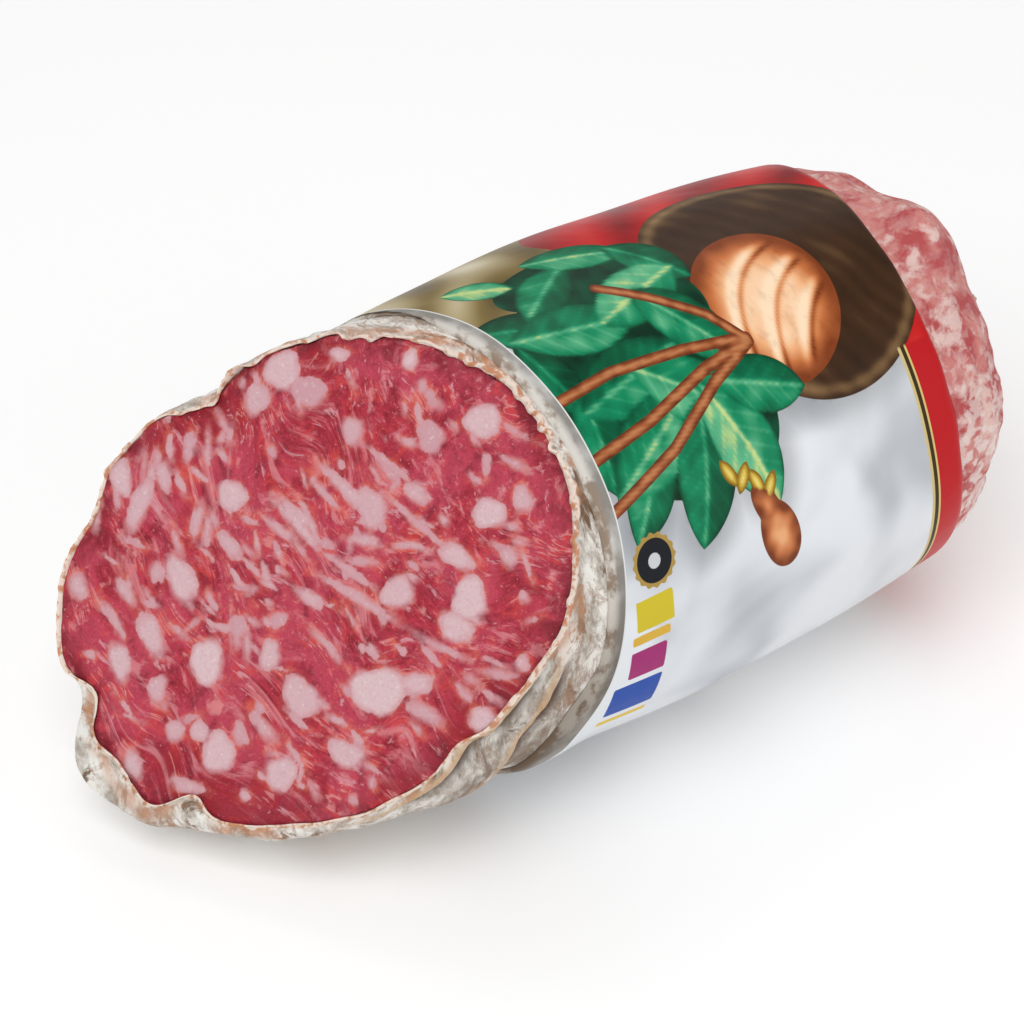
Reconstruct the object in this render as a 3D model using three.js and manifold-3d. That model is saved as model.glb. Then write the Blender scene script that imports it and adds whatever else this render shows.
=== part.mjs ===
// A cut cured sausage lying on its side: a salami in natural gut, halved on the bias with a knife,
// wrapped round the middle in a printed film sleeve and tied off with twine at its far end.
//
// Frame: millimetres. +X runs along the sausage from the cut end to the tied end, +Z is up and the
// origin lies on the flat that the sausage rests on, under the sleeve and near its middle.
// Every layer is one surface written in two coordinates: x along the bent axis, and an angle in
// degrees round it, 0 at the top, 90 at -Y, 180 underneath and 270 at +Y.

import * as THREE from 'three';
import { mergeVertices } from 'three/addons/utils/BufferGeometryUtils.js';
import Module from 'manifold-3d';

const wasm = await Module();
wasm.setup();

// ---- Driving dimensions ----------------------------------------------------------------------

// Layers, from the outside in.
const FILM = 0.5; // the sleeve's film
const CLEARANCE = 0.3; // between two layers
const GUT = 1.0; // wall of the casing

// The body's axis.
const AXIS_HEIGHT = 36.3; // above the rest plane at x = 0
const AXIS_FALL = 0.01; // drop per millimetre towards the tied end
const SLEEVE_HALF = 40; // half the length of the stretch that the sleeve holds straight and round
const SWAY_Y = 1.8; // how far the axis bows sideways between the sleeve's ends
const SWAY_Z = -1.6; // and downwards
const DRIFT_Y = 1.4; // sideways bend of the cut end, over DRIFT_LENGTH
const DRIFT_Z = 0.8; // and its upward bend
const DRIFT_LENGTH = 20;

// Radii of the casing, and of the meat where it is cut.
const RADIUS_CUT = 32;
const RADIUS_NEAR = 34; // at the sleeve's edge by the cut
const RADIUS_MIDDLE = 35.5; // the barrel of the body
const RADIUS_FAR = 32.1; // at the sleeve's far edge

// The knife: a plane through the body, tilted from square and turned towards -Y and up.
const KNIFE_TILT = 44;
const KNIFE_TURN = 57.5;
const KNIFE_POINT = new THREE.Vector3(-63.8, -0.5, 39.7);

// Lobes and notches: angle, height and spread in degrees. The cut end took the print of the strings
// that held it while it cured, and the far end is gathered into eight lobes.
const CUT_LOBES = [
  [0, 0.4, 10], [74, 1.7, 14], [165, 1.4, 18], [201, 3.3, 12], [255, 0.8, 14], [289, 2.0, 12],
  [324, 0.4, 8], [335, 0.9, 4], [112, -1.2, 5], [183, -3.4, 5], [229, -3.8, 7], [306, -1.0, 7],
];
const BELLY_LOBES = [[128, 1.8, 14], [190, 2.4, 18], [236, 2.4, 18]];
const END_LOBES = [
  [345, 1.3, 12], [22, 6.8, 17], [54, 2.2, 12], [82, 3.0, 18], [135, 2.0, 18], [188, 2.4, 18],
  [238, 2.4, 18], [290, 2.4, 16],
];
const END_WAIST = 2; // depth of the valleys between the far lobes, below the sleeve's radius
const END_GROWTH = 11; // length over which they come up beyond the sleeve

// Swelling of the gut just behind the cut, where the meat bulges over the knife's edge.
const SWELL_TOP = 1.0;
const SWELL_UNDER = 1.6;
const SWELL_LENGTH = 5;
const SWELL_ANGLE = 195; // where it hangs most

// Folds in the gut on the -Y side: x at FOLD_ANGLE, slant per degree, spread, and the angles between
// which each one fades out.
const FOLD_DEPTH = 2.2;
const FOLD_ANGLE = 88;
const FOLD_FROM = [80, 100]; // angles between which the folds come up
const FOLDS = [[-47, 0.37, 3.2, 128, 165], [-43, 0.17, 2.6, 135, 180]];

// Where the layers lie flat on top of each other: distances past the sleeve's near edge between which
// the flat rises to the film's inside, and past its far edge between which it drops again.
const NEAR_LIFT = [-7, -1];
const FAR_DROP = [0, 6];

// The tied end.
const CROWN_X = 54.8; // the blunt crown of the far end
const CROWN_START = 34; // where the body starts to round over
const CROWN_POWER = 3.1;
const NECK_RADIUS = 3.2; // of the gathered gut inside the twine
const NECK_END = 60.2;
const TAIL_RADIUS = 5; // of the trimmed tail beyond it
const TAIL_END = 64.5;

// The sleeve grips the casing round from GRIP_LEAD before its near edge; the lobed outline of the cut
// end fades into that round over GRIP_LENGTH.
const GRIP_LENGTH = 12;
const GRIP_LEAD = 0.5;

// The sleeve's skewed edges: x = middle + a cosine and a sine part round the body.
const NEAR_EDGE = [-43.1, 3.8, 4.0];
const FAR_EDGE = [38.7, -2.3, -2.4];

// The twine.
const TWINE_RADIUS = 0.9;
const TWINE_TURNS = 2;
const TWINE_PITCH = 1.6;
const KNOT_ANGLE = 300; // on the body's clock, at the upper back
const KNOT_RADIUS = 1.7;
const TWINE_TAIL = 9; // reach of each cut end, sideways from the knot

const SEGMENTS = 60; // steps round the body
const STRIP_STEPS = 8; // along the bare strip between the cut and the sleeve
const SLEEVE_STEPS = 8; // along the sleeve
const CROWN_SHARES = [0.2, 0.4, 0.58, 0.73, 0.85, 0.935, 0.983]; // rings of the far end, closer as it rounds
const PLANE_STEPS = 40; // iterations that bring a point onto the knife's plane
const PLANE_STRIDE = 0.8; // share of the remaining way that each of them goes

// ---- The body's shape ------------------------------------------------------------------------

const radians = THREE.MathUtils.degToRad;
const smooth = (from, to, value) => THREE.MathUtils.smoothstep(value, from, to);

const knifeNormal = new THREE.Vector3(
  -Math.cos(radians(KNIFE_TILT)),
  -Math.sin(radians(KNIFE_TILT)) * Math.cos(radians(KNIFE_TURN)),
  Math.sin(radians(KNIFE_TILT)) * Math.sin(radians(KNIFE_TURN)),
);

/** Sum of bell-shaped lobes at an angle: each is height * exp(-(distance / spread)^2). */
function lobes(list, angle) {
  return list.reduce((sum, [centre, height, spread]) => {
    const distance = ((angle - centre + 540) % 360) - 180;
    return sum + height * Math.exp(-((distance / spread) ** 2));
  }, 0);
}

/** The axis at x: a parabola between the sleeve's ends that runs straight on past them. */
function axisAt(x) {
  const q = Math.abs(x) / SLEEVE_HALF;
  const bow = q < 1 ? 1 - q * q : 2 - 2 * q;
  const drift = Math.max(0, -SLEEVE_HALF - x) / DRIFT_LENGTH;
  return {
    y: SWAY_Y * bow + DRIFT_Y * drift,
    z: AXIS_HEIGHT - AXIS_FALL * x + SWAY_Z * bow + DRIFT_Z * drift,
  };
}

/** A point at a radius and an angle, on the section that stands square to the axis at x. */
function onSection(x, angle, radius) {
  const centre = axisAt(x);
  const before = axisAt(x - 0.5);
  const after = axisAt(x + 0.5);
  const sine = Math.sin(radians(angle));
  const cosine = Math.cos(radians(angle));
  const lean = cosine * (after.z - before.z) - sine * (after.y - before.y);
  return new THREE.Vector3(x - lean * radius, centre.y - sine * radius, centre.z + cosine * radius);
}

/** x of a sleeve edge at an angle. */
function edgeX([middle, cosinePart, sinePart], angle) {
  return middle + cosinePart * Math.cos(radians(angle)) + sinePart * Math.sin(radians(angle));
}

/** x at a share of the sleeve's length. The layers below it have their rings at the same places. */
function underSleeveX(part, angle) {
  const near = edgeX(NEAR_EDGE, angle);
  return near + (edgeX(FAR_EDGE, angle) - near) * part;
}

/** Radius of the round stretch under the sleeve: a straight taper with a barrel on it. */
function barrelRadius(x) {
  const u = THREE.MathUtils.clamp((x + SLEEVE_HALF) / (2 * SLEEVE_HALF), 0, 1);
  const taper = RADIUS_NEAR + (RADIUS_FAR - RADIUS_NEAR) * u;
  const barrel = RADIUS_MIDDLE - (RADIUS_NEAR + RADIUS_FAR) / 2;
  return taper + barrel * 4 * u * (1 - u);
}

/** Radius of the casing between the cut and the sleeve: the lobed cut outline, swelling behind it. */
function cutEndRadius(x, angle) {
  const core = onSection(x, angle, RADIUS_CUT);
  const depth = Math.max(0, -core.sub(KNIFE_POINT).dot(knifeNormal));
  const behind = 1 - Math.exp(-depth / SWELL_LENGTH);
  const under = (0.5 + 0.5 * Math.cos(radians(angle - SWELL_ANGLE))) ** 1.5;
  const swell = SWELL_TOP + SWELL_UNDER * under + lobes(BELLY_LOBES, angle);
  const folds = FOLDS.reduce((sum, [start, slant, width, fadeFrom, fadeTo]) => {
    const line = start - slant * (angle - FOLD_ANGLE);
    const shown = smooth(...FOLD_FROM, angle) * (1 - smooth(fadeFrom, fadeTo, angle));
    return sum + FOLD_DEPTH * Math.exp(-(((x - line) / width) ** 2)) * shown;
  }, 0);
  const outline = RADIUS_CUT + lobes(CUT_LOBES, angle) + GUT + CLEARANCE;
  const loose = outline + (swell - folds) * behind;
  const gripped = smooth(-GRIP_LENGTH, -GRIP_LEAD, x - edgeX(NEAR_EDGE, angle));
  return loose + (barrelRadius(x) - loose) * gripped;
}

/** Radius of a layer whose skin lies a given inset below the casing's outside. */
function layerRadius(x, angle, inset) {
  if (x < 0) {
    return cutEndRadius(x, angle) - inset;
  }
  const crown = CROWN_X - inset;
  const along = THREE.MathUtils.clamp((x - CROWN_START) / (crown - CROWN_START), 0, 1);
  const grown = smooth(0, END_GROWTH, x - edgeX(FAR_EDGE, angle));
  const lobed = barrelRadius(x) - inset + (lobes(END_LOBES, angle) - END_WAIST) * grown;
  return lobed * Math.sqrt(1 - along ** CROWN_POWER);
}

/** A point of a layer. Where the body rests, the layers stack up flat from the rest plane. */
function onLayer(x, angle, inset) {
  const point = onSection(x, angle, layerRadius(x, angle, inset));
  const underSleeve = smooth(...NEAR_LIFT, x - edgeX(NEAR_EDGE, angle))
    * (1 - smooth(...FAR_DROP, x - edgeX(FAR_EDGE, angle)));
  point.z = Math.max(point.z, inset + (FILM + CLEARANCE) * underSleeve);
  return point;
}

/** x at which a layer meets the knife's plane at an angle. */
function cutX(angle, inset) {
  let x = KNIFE_POINT.x;
  for (let step = 0; step < PLANE_STEPS; step += 1) {
    const above = onLayer(x, angle, inset).sub(KNIFE_POINT).dot(knifeNormal);
    x += (PLANE_STRIDE * above) / Math.cos(radians(KNIFE_TILT));
  }
  return x;
}

// ---- From a surface to a closed solid --------------------------------------------------------

/** Welds a geometry's shared points and drops the empty triangles at its poles and seams. */
function welded(geometry) {
  const bare = geometry.clone();
  bare.deleteAttribute('normal');
  bare.deleteAttribute('uv');
  const merged = mergeVertices(bare, 1e-4);
  const index = merged.index.array;
  const kept = [];
  for (let i = 0; i < index.length; i += 3) {
    const [a, b, c] = [index[i], index[i + 1], index[i + 2]];
    if (a !== b && b !== c && c !== a) {
      kept.push(a, b, c);
    }
  }
  merged.setIndex(kept);
  return merged;
}

/** How far the middle of two points stands off the body's axis. */
function standOff(first, second) {
  const middle = first.clone().add(second).multiplyScalar(0.5);
  const centre = axisAt(middle.x);
  return Math.hypot(middle.y - centre.y, middle.z - centre.z);
}

/**
 * A lathe turned round the body's axis, with every point of its grid moved to its own place.
 * Each cell is split along its outer diagonal, so that nested layers stay parallel in the folds.
 */
function wrapped(stations, place) {
  const rows = stations.length;
  const grid = new THREE.LatheGeometry(stations.map((_, row) => new THREE.Vector2(1, row)), SEGMENTS);
  const points = [];
  for (let turn = 0; turn <= SEGMENTS; turn += 1) {
    const angle = (360 * (turn % SEGMENTS)) / SEGMENTS;
    points.push(...stations.map((station) => place(station, angle)));
  }
  points.forEach((point, i) => grid.attributes.position.setXYZ(i, point.x, point.y, point.z));
  const triangles = [];
  for (let turn = 0; turn < SEGMENTS; turn += 1) {
    for (let row = 0; row < rows - 1; row += 1) {
      const a = turn * rows + row;
      const b = a + rows;
      const c = b + 1;
      const d = a + 1;
      if (standOff(points[a], points[c]) > standOff(points[b], points[d])) {
        triangles.push(a, b, c, a, c, d);
      } else {
        triangles.push(a, b, d, c, d, b);
      }
    }
  }
  grid.setIndex(triangles);
  return welded(grid);
}

/** Even steps from 0 to 1, both ends included. */
function steps(count) {
  return Array.from({ length: count + 1 }, (_, i) => i / count);
}

/** Stations of a layer's skin, from the cut to the crown. */
function skinStations(inset) {
  const strip = steps(STRIP_STEPS).map((part) => ({ inset, strip: part }));
  const side = steps(SLEEVE_STEPS).map((part) => ({ inset, side: part }));
  const crown = CROWN_SHARES.map((part) => ({ inset, crown: part }));
  return [...strip, ...side, ...crown];
}

/** Places a station of a layer: by its share of the strip, the side, the crown or the cut face. */
function placeOnSkin(station, angle) {
  const { inset } = station;
  if (station.strip !== undefined) {
    const gripX = edgeX(NEAR_EDGE, angle) - GRIP_LEAD;
    const start = cutX(angle, station.strip === 0 ? inset : 0);
    return onLayer(start + (gripX - start) * station.strip, angle, inset);
  }
  if (station.side !== undefined) {
    return onLayer(underSleeveX(station.side, angle), angle, inset);
  }
  if (station.crown !== undefined) {
    const start = edgeX(FAR_EDGE, angle);
    return onLayer(start + (CROWN_X - inset - start) * station.crown, angle, inset);
  }
  if (station.face !== undefined) {
    const edge = onLayer(cutX(angle, inset), angle, inset);
    return KNIFE_POINT.clone().lerp(edge, station.face);
  }
  return onSection(station.x, angle, station.radius);
}

// ---- The pieces ------------------------------------------------------------------------------

/** The cured meat and fat: one solid, with the knife's flat face at one end. */
function fillingGeometry() {
  const inset = GUT + CLEARANCE;
  const face = [0, 0.5].map((part) => ({ inset, face: part }));
  const tip = { x: CROWN_X - inset, radius: 0 };
  return wrapped([...face, ...skinStations(inset), tip], placeOnSkin);
}

/** The gut: an open shell at the cut, gathered into a solid neck and a trimmed tail. */
function casingGeometry() {
  const inside = skinStations(GUT).reverse();
  const outside = skinStations(0);
  const neck = [
    { x: CROWN_X - 0.2, radius: NECK_RADIUS },
    { x: NECK_END - 0.8, radius: NECK_RADIUS },
    { x: NECK_END + 1.2, radius: TAIL_RADIUS },
    { x: TAIL_END, radius: TAIL_RADIUS - 0.6 },
    { x: TAIL_END, radius: 0 },
  ];
  const crownInside = { x: CROWN_X - GUT, radius: 0 };
  return wrapped([crownInside, ...inside, ...outside, ...neck], placeOnSkin);
}

/** The sleeve: a film tube over the round stretch, its wall closed at both skewed edges. */
function sleeveGeometry() {
  const outside = steps(SLEEVE_STEPS).map((part) => ({ part, depth: 0 }));
  const inside = steps(SLEEVE_STEPS).reverse().map((part) => ({ part, depth: FILM }));
  const ring = [...outside, ...inside, outside[0]];
  return wrapped(ring, ({ part, depth }, angle) => {
    const x = underSleeveX(part, angle);
    const point = onSection(x, angle, barrelRadius(x) + CLEARANCE + FILM - depth);
    point.z = Math.max(point.z, depth);
    return point;
  });
}

/** Turns a closed geometry into a solid that can be joined to others. */
function solidOf(geometry) {
  const closed = welded(geometry);
  return new wasm.Manifold(new wasm.Mesh({
    numProp: 3,
    vertProperties: closed.attributes.position.array,
    triVerts: new Uint32Array(closed.index.array),
  }));
}

/** Turns a joined solid back into a geometry. */
function geometryOf(solid) {
  const mesh = solid.getMesh();
  const geometry = new THREE.BufferGeometry();
  geometry.setAttribute('position', new THREE.BufferAttribute(new Float32Array(mesh.vertProperties), 3));
  geometry.setIndex(Array.from(mesh.triVerts));
  return geometry;
}

/** The twine: turns side by side round the neck, a knot on them and two short cut ends. */
function twineGeometry() {
  const ringRadius = NECK_RADIUS + CLEARANCE + TWINE_RADIUS;
  const middle = (CROWN_X + NECK_END) / 2;
  const centre = axisAt(middle);
  const solids = [];
  for (let turn = 0; turn < TWINE_TURNS; turn += 1) {
    const ring = new THREE.TorusGeometry(ringRadius, TWINE_RADIUS, 8, 28);
    ring.rotateY(Math.PI / 2);
    ring.translate(middle + (turn - (TWINE_TURNS - 1) / 2) * TWINE_PITCH, centre.y, centre.z);
    solids.push(solidOf(ring));
  }
  const knotAt = (rise, x) => {
    const direction = radians(KNOT_ANGLE);
    const reach = ringRadius + rise;
    const y = centre.y - Math.sin(direction) * reach;
    return new THREE.Vector3(x, y, centre.z + Math.cos(direction) * reach);
  };
  const knot = new THREE.SphereGeometry(KNOT_RADIUS, 12, 8);
  const knotCentre = knotAt(1, middle);
  knot.translate(knotCentre.x, knotCentre.y, knotCentre.z);
  solids.push(solidOf(knot));
  const circle = new THREE.EllipseCurve(0, 0, TWINE_RADIUS, TWINE_RADIUS).getPoints(8);
  const section = new THREE.Shape(circle.slice(1));
  const clock = radians(KNOT_ANGLE);
  const sideways = new THREE.Vector3(0, Math.cos(clock), Math.sin(clock));
  for (const side of [-1, 1]) {
    const path = new THREE.CatmullRomCurve3([
      knotCentre,
      knotAt(2.6, middle + 0.8).addScaledVector(sideways, side * TWINE_TAIL * 0.45),
      knotAt(1.6, middle + 2.2).addScaledVector(sideways, side * TWINE_TAIL),
    ]);
    const options = { steps: 6, extrudePath: path, bevelEnabled: false };
    solids.push(solidOf(new THREE.ExtrudeGeometry(section, options)));
  }
  return geometryOf(solids.reduce((joined, solid) => joined.add(solid)));
}

// ---- The object ------------------------------------------------------------------------------

function piece(name, geometry, color, roughness) {
  geometry.computeVertexNormals();
  const material = new THREE.MeshStandardMaterial({ color, roughness, metalness: 0 });
  const mesh = new THREE.Mesh(geometry, material);
  mesh.name = name;
  return mesh;
}

const sausage = new THREE.Group();
sausage.add(
  piece('filling', fillingGeometry(), 0xa83a48, 0.45),
  piece('casing', casingGeometry(), 0xb9aa97, 0.8),
  piece('label_sleeve', sleeveGeometry(), 0xc9ccd0, 0.35),
  piece('tie_twine', twineGeometry(), 0xd9cdb4, 0.9),
);

// The middle line of the rest flat comes to y = 0.
sausage.position.y = -SWAY_Y;

export default sausage;
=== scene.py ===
# %% [markdown]
# # A cut cured sausage
# The object is half a salami on its side: coarse cured meat in natural gut, cut on the bias, with a
# printed film sleeve round the middle and a twine tie at the far end. Meat, gut and film are nested
# skins of one body, so this script first writes that body down as a formula, as the CAD model does,
# and then gives every piece a fine mesh of its own that lies where the CAD piece lies.

import bmesh
import bpy
import numpy as np
from mathutils import Matrix, Vector


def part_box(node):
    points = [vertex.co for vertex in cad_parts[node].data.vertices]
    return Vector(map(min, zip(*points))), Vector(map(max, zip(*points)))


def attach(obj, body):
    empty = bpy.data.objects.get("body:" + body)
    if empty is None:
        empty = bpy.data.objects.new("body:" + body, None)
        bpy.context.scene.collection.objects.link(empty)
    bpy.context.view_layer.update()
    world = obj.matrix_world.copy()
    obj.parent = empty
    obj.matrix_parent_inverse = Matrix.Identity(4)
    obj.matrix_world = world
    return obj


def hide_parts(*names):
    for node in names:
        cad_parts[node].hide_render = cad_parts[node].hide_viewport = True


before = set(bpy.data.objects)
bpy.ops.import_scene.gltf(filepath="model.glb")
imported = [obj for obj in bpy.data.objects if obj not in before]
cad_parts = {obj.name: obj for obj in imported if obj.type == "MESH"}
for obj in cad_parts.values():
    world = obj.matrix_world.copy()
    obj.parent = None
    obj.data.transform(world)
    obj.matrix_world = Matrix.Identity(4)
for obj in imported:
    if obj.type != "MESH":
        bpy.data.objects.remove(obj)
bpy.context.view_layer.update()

MM = 0.001
DEG = np.pi / 180

# %% [markdown]
# ## Camera, floor and light
# A product picture of food wants a long lens, so that the cut face isn't stretched, and large soft
# lights. The camera is written as a direction, a roll, a distance and a point to aim at, which is
# easier to read than a matrix. The floor is a plain pale sheet and isn't part of the object.

# %% Camera
VIEW_AZIMUTH = -36.16
VIEW_ELEVATION = 36.84
VIEW_ROLL = -0.58
VIEW_DISTANCE = 0.542
VIEW_AIM = Vector((-0.0211, 0.0063, 0.0284))
LENS = 125


def axes_of_view(azimuth, elevation, roll):
    """Right, up and back axes of a camera. Azimuth 0 looks along +Y, and roll turns it about its view."""
    a, e, r = np.radians((azimuth, elevation, roll))
    back = Vector((np.sin(a) * np.cos(e), -np.cos(a) * np.cos(e), np.sin(e)))
    level = Vector((np.cos(a), np.sin(a), 0))
    upright = back.cross(level)
    right = level * np.cos(r) + upright * np.sin(r)
    return right, back.cross(right), back


def add_camera():
    """A camera that looks at the aim from the view's direction."""
    data = bpy.data.cameras.new("camera")
    data.lens = LENS
    data.clip_end = 10
    camera = bpy.data.objects.new("camera", data)
    bpy.context.scene.collection.objects.link(camera)
    right, up, back = axes_of_view(VIEW_AZIMUTH, VIEW_ELEVATION, VIEW_ROLL)
    turn = Matrix((right, up, back)).transposed().to_4x4()
    camera.matrix_world = Matrix.Translation(VIEW_AIM + back * VIEW_DISTANCE) @ turn
    bpy.context.scene.camera = camera
    return camera


camera = add_camera()
print("camera at", [round(value, 3) for value in camera.location])

# %% Floor and lights
FLOOR_HALF, FLOOR_DROP = 3.0, 0.0001
FLOOR_GREY, FLOOR_GLOW, ROOM_GLOW = 0.93, 0.1, 0.5


def add_floor():
    """A large pale square just under the object."""
    mesh = bpy.data.meshes.new("floor")
    signs = ((-1, -1), (1, -1), (1, 1), (-1, 1))
    mesh.from_pydata([(x * FLOOR_HALF, y * FLOOR_HALF, -FLOOR_DROP) for x, y in signs], [], [(0, 1, 2, 3)])
    floor = bpy.data.objects.new("floor", mesh)
    bpy.context.scene.collection.objects.link(floor)
    paper = bpy.data.materials.new("pale_floor")
    paper.use_nodes = True
    shader = paper.node_tree.nodes["Principled BSDF"]
    shader.inputs["Base Color"].default_value = (FLOOR_GREY, FLOOR_GREY, FLOOR_GREY, 1)
    shader.inputs["Roughness"].default_value = 0.9
    shader.inputs["Emission Color"].default_value = (1, 1, 1, 1)
    shader.inputs["Emission Strength"].default_value = FLOOR_GLOW
    mesh.materials.append(paper)


def add_softbox(name, direction, distance, size, watts):
    """A square area light that looks at the aim from a direction."""
    data = bpy.data.lights.new(name, "AREA")
    data.size = size
    data.energy = watts
    light = bpy.data.objects.new(name, data)
    bpy.context.scene.collection.objects.link(light)
    towards = Vector(direction).normalized()
    light.location = VIEW_AIM + towards * distance
    light.rotation_euler = towards.to_track_quat("Z", "Y").to_euler()


add_floor()
add_softbox("key_softbox", (-0.55, -0.35, 0.95), 0.9, 0.7, 4.4)
add_softbox("fill_softbox", (0.55, -0.95, 0.35), 0.9, 0.6, 1.2)
add_softbox("back_softbox", (0.5, 0.6, 0.9), 1.0, 0.6, 1.4)
world = bpy.data.worlds.new("studio_room")
bpy.context.scene.world = world
world.use_nodes = True
world.node_tree.nodes["Background"].inputs["Color"].default_value = (1, 1, 1, 1)
world.node_tree.nodes["Background"].inputs["Strength"].default_value = ROOM_GLOW
bpy.context.scene.view_settings.view_transform = "Standard"

# %% [markdown]
# ## The body as a formula
# The real sausage is a tube of gut stuffed with meat, so its shape is a radius round a slightly bent
# axis. A point on any skin has two coordinates: x along the axis, and an angle round it, 0 at the
# top, 90 towards the viewer's side. Modelling it by hand would give the same shape, but a formula
# lets the meat, the gut and the film share one surface and differ only by their depth below it.
# The sizes are in millimetres. They are those of the CAD model, but for finer lobes and tears round
# the cut and a small bulge under the sleeve's near edge, which only show at this level of detail.

# %% Sizes of the body
FILM, CLEARANCE, GUT = 0.5, 0.3, 1.0
AXIS_HEIGHT, AXIS_FALL = 36.3, 0.01
SLEEVE_HALF = 40
SWAY_Y, SWAY_Z = 1.8, -1.6
DRIFT_Y, DRIFT_Z, DRIFT_LENGTH = 1.4, 0.8, 20
RADIUS_CUT, RADIUS_NEAR, RADIUS_MIDDLE, RADIUS_FAR = 32, 34, 35.5, 32.1
KNIFE_TILT, KNIFE_TURN = 44, 57.5
KNIFE_POINT = np.array([-63.8, -0.5 - SWAY_Y, 39.7])
KNIFE_NORMAL = np.array([
    -np.cos(KNIFE_TILT * DEG),
    -np.sin(KNIFE_TILT * DEG) * np.cos(KNIFE_TURN * DEG),
    np.sin(KNIFE_TILT * DEG) * np.sin(KNIFE_TURN * DEG),
])
# Lobes: angle, height, spread.
CUT_LOBES = [
    (0, 0.4, 10), (74, 1.7, 14), (112, -1.2, 5), (152, 0.2, 10), (165, 1.3, 18), (187, 2.6, 9),
    (204, 4.6, 13), (222, -1.8, 6), (255, 0.5, 14), (267, -1.1, 6), (278, 0.8, 5), (291, 1.0, 11),
    (303, -1.8, 8), (324, 0.2, 8), (335, 0.6, 4),
]
BELLY_LOBES = [(130, 1.2, 14), (190, 2.4, 18), (236, 2.4, 18)]
# The rim is tucked in where the skin bags out under it, and torn a little in its upper half.
TUCK_LOBES = [
    (154, 2.0, 10), (168, 1.9, 8), (179, 5.4, 6), (191, 3.6, 8), (203, 7.0, 9), (217, 4.2, 8),
    (303, 1.2, 7), (343, 0.6, 5), (6, 0.9, 10), (32, 0.8, 13),
]
TUCK_DEPTH, TEAR_DEPTH, TEAR_LENGTH = 1.9, 0.45, 3.2
END_LOBES = [
    (345, 1.3, 12), (22, 6.8, 17), (54, 2.2, 12), (82, 3.0, 18), (135, 2.0, 18), (188, 2.4, 18),
    (238, 2.4, 18), (290, 2.4, 16),
]
END_WAIST, END_GROWTH = 2, 11
SWELL_TOP, SWELL_UNDER, SWELL_LENGTH, SWELL_ANGLE = 1.0, 1.6, 5, 195
GRIP_LENGTH, GRIP_LEAD = 12, 0.5
CROWN_X, CROWN_START, CROWN_POWER = 54.8, 34, 3.1
NECK_RADIUS = 3.2
# The share by which the gut is thinner at its cut rim, and the depth over which that fades.
RIM_THINNING, THINNING_DEPTH = 0.68, 2
# A bulge that the sleeve's near edge lies over: x, angle, length, spread, height.
EDGE_BULGE = (-40, 134, 4.5, 12, 1.0)
NEAR_EDGE = (-43.1, 3.8, 4.0)
FAR_EDGE = (38.7, -2.3, -2.4)
# Distances from the sleeve's edges over which the layers below it rise to lie on the film.
NEAR_LIFT, FAR_DROP = (-7, -1), (0, 6)
KNIFE_STRIDE, KNIFE_STEPS = 0.8, 40
# Folds: x at FOLD_ANGLE, slant per degree, length of the hollow, angles of fading out.
FOLD_ANGLE = 88
FOLDS = [(-47, 0.37, 3.0, 128, 165), (-43, 0.17, 2.2, 135, 180)]
FOLD_DEPTH, FOLD_RIDGE, RIDGE_AT, RIDGE_LENGTH, FOLD_ROOM = 2.4, 0.5, -0.9, 0.9, 1.6

# %% The body's functions


def smooth(low, high, value):
    """0 below low, 1 above high, and the S-curve 3u^2 - 2u^3 between them."""
    u = np.clip((value - low) / (high - low), 0, 1)
    return u * u * (3 - 2 * u)


def lobes(rows, angle):
    """Sum of bells at an angle: height times exp(-(angular distance / spread)^2)."""
    total = np.zeros_like(np.asarray(angle, float))
    for centre, height, spread in rows:
        distance = (angle - centre + 180) % 360 - 180
        total = total + height * np.exp(-(distance / spread) ** 2)
    return total


def waves(points, wavelength, seed, count=14):
    """Smooth noise: sines along random directions with lengths near the wavelength, sum / sqrt(count)."""
    draw = np.random.default_rng(seed)
    direction = draw.normal(size=(count, points.shape[-1]))
    direction /= np.linalg.norm(direction, axis=1, keepdims=True)
    length = wavelength * draw.uniform(0.7, 1.6, count)
    phase = draw.uniform(0, 2 * np.pi, count)
    total = np.zeros(points.shape[:-1])
    for k in range(count):
        total += np.sin(2 * np.pi * (points @ direction[k]) / length[k] + phase[k])
    return total / np.sqrt(count)


def round_waves(angle, wavelength, seed):
    """Smooth noise that closes on itself round the body."""
    around = np.stack([35 * np.cos(angle * DEG), 35 * np.sin(angle * DEG)], axis=-1)
    return waves(around, wavelength, seed)


def axis_at(x):
    """y and z of the axis: a parabola between the sleeve's ends, straight on past them, and drifting
    a little more towards the cut."""
    q = np.abs(x) / SLEEVE_HALF
    bow = np.where(q < 1, 1 - q * q, 2 - 2 * q)
    drift = np.maximum(0, -SLEEVE_HALF - x) / DRIFT_LENGTH
    y = SWAY_Y * (bow - 1) + DRIFT_Y * drift
    return y, AXIS_HEIGHT - AXIS_FALL * x + SWAY_Z * bow + DRIFT_Z * drift


def on_section(x, angle, radius):
    """Axis point plus radius times the direction of the angle, on the plane square to the axis."""
    y, z = axis_at(x)
    y0, z0 = axis_at(x - 0.5)
    y1, z1 = axis_at(x + 0.5)
    sine, cosine = np.sin(angle * DEG), np.cos(angle * DEG)
    lean = cosine * (z1 - z0) - sine * (y1 - y0)
    return np.stack([x - lean * radius, y - sine * radius, z + cosine * radius], axis=-1)


def edge_x(edge, angle):
    """x of a sleeve edge: its middle plus a cosine and a sine part."""
    return edge[0] + edge[1] * np.cos(angle * DEG) + edge[2] * np.sin(angle * DEG)


def barrel_radius(x):
    """Straight taper from the near to the far radius, plus a parabola for the barrel."""
    u = np.clip((x + SLEEVE_HALF) / (2 * SLEEVE_HALF), 0, 1)
    barrel = RADIUS_MIDDLE - (RADIUS_NEAR + RADIUS_FAR) / 2
    return RADIUS_NEAR + (RADIUS_FAR - RADIUS_NEAR) * u + barrel * 4 * u * (1 - u)


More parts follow.
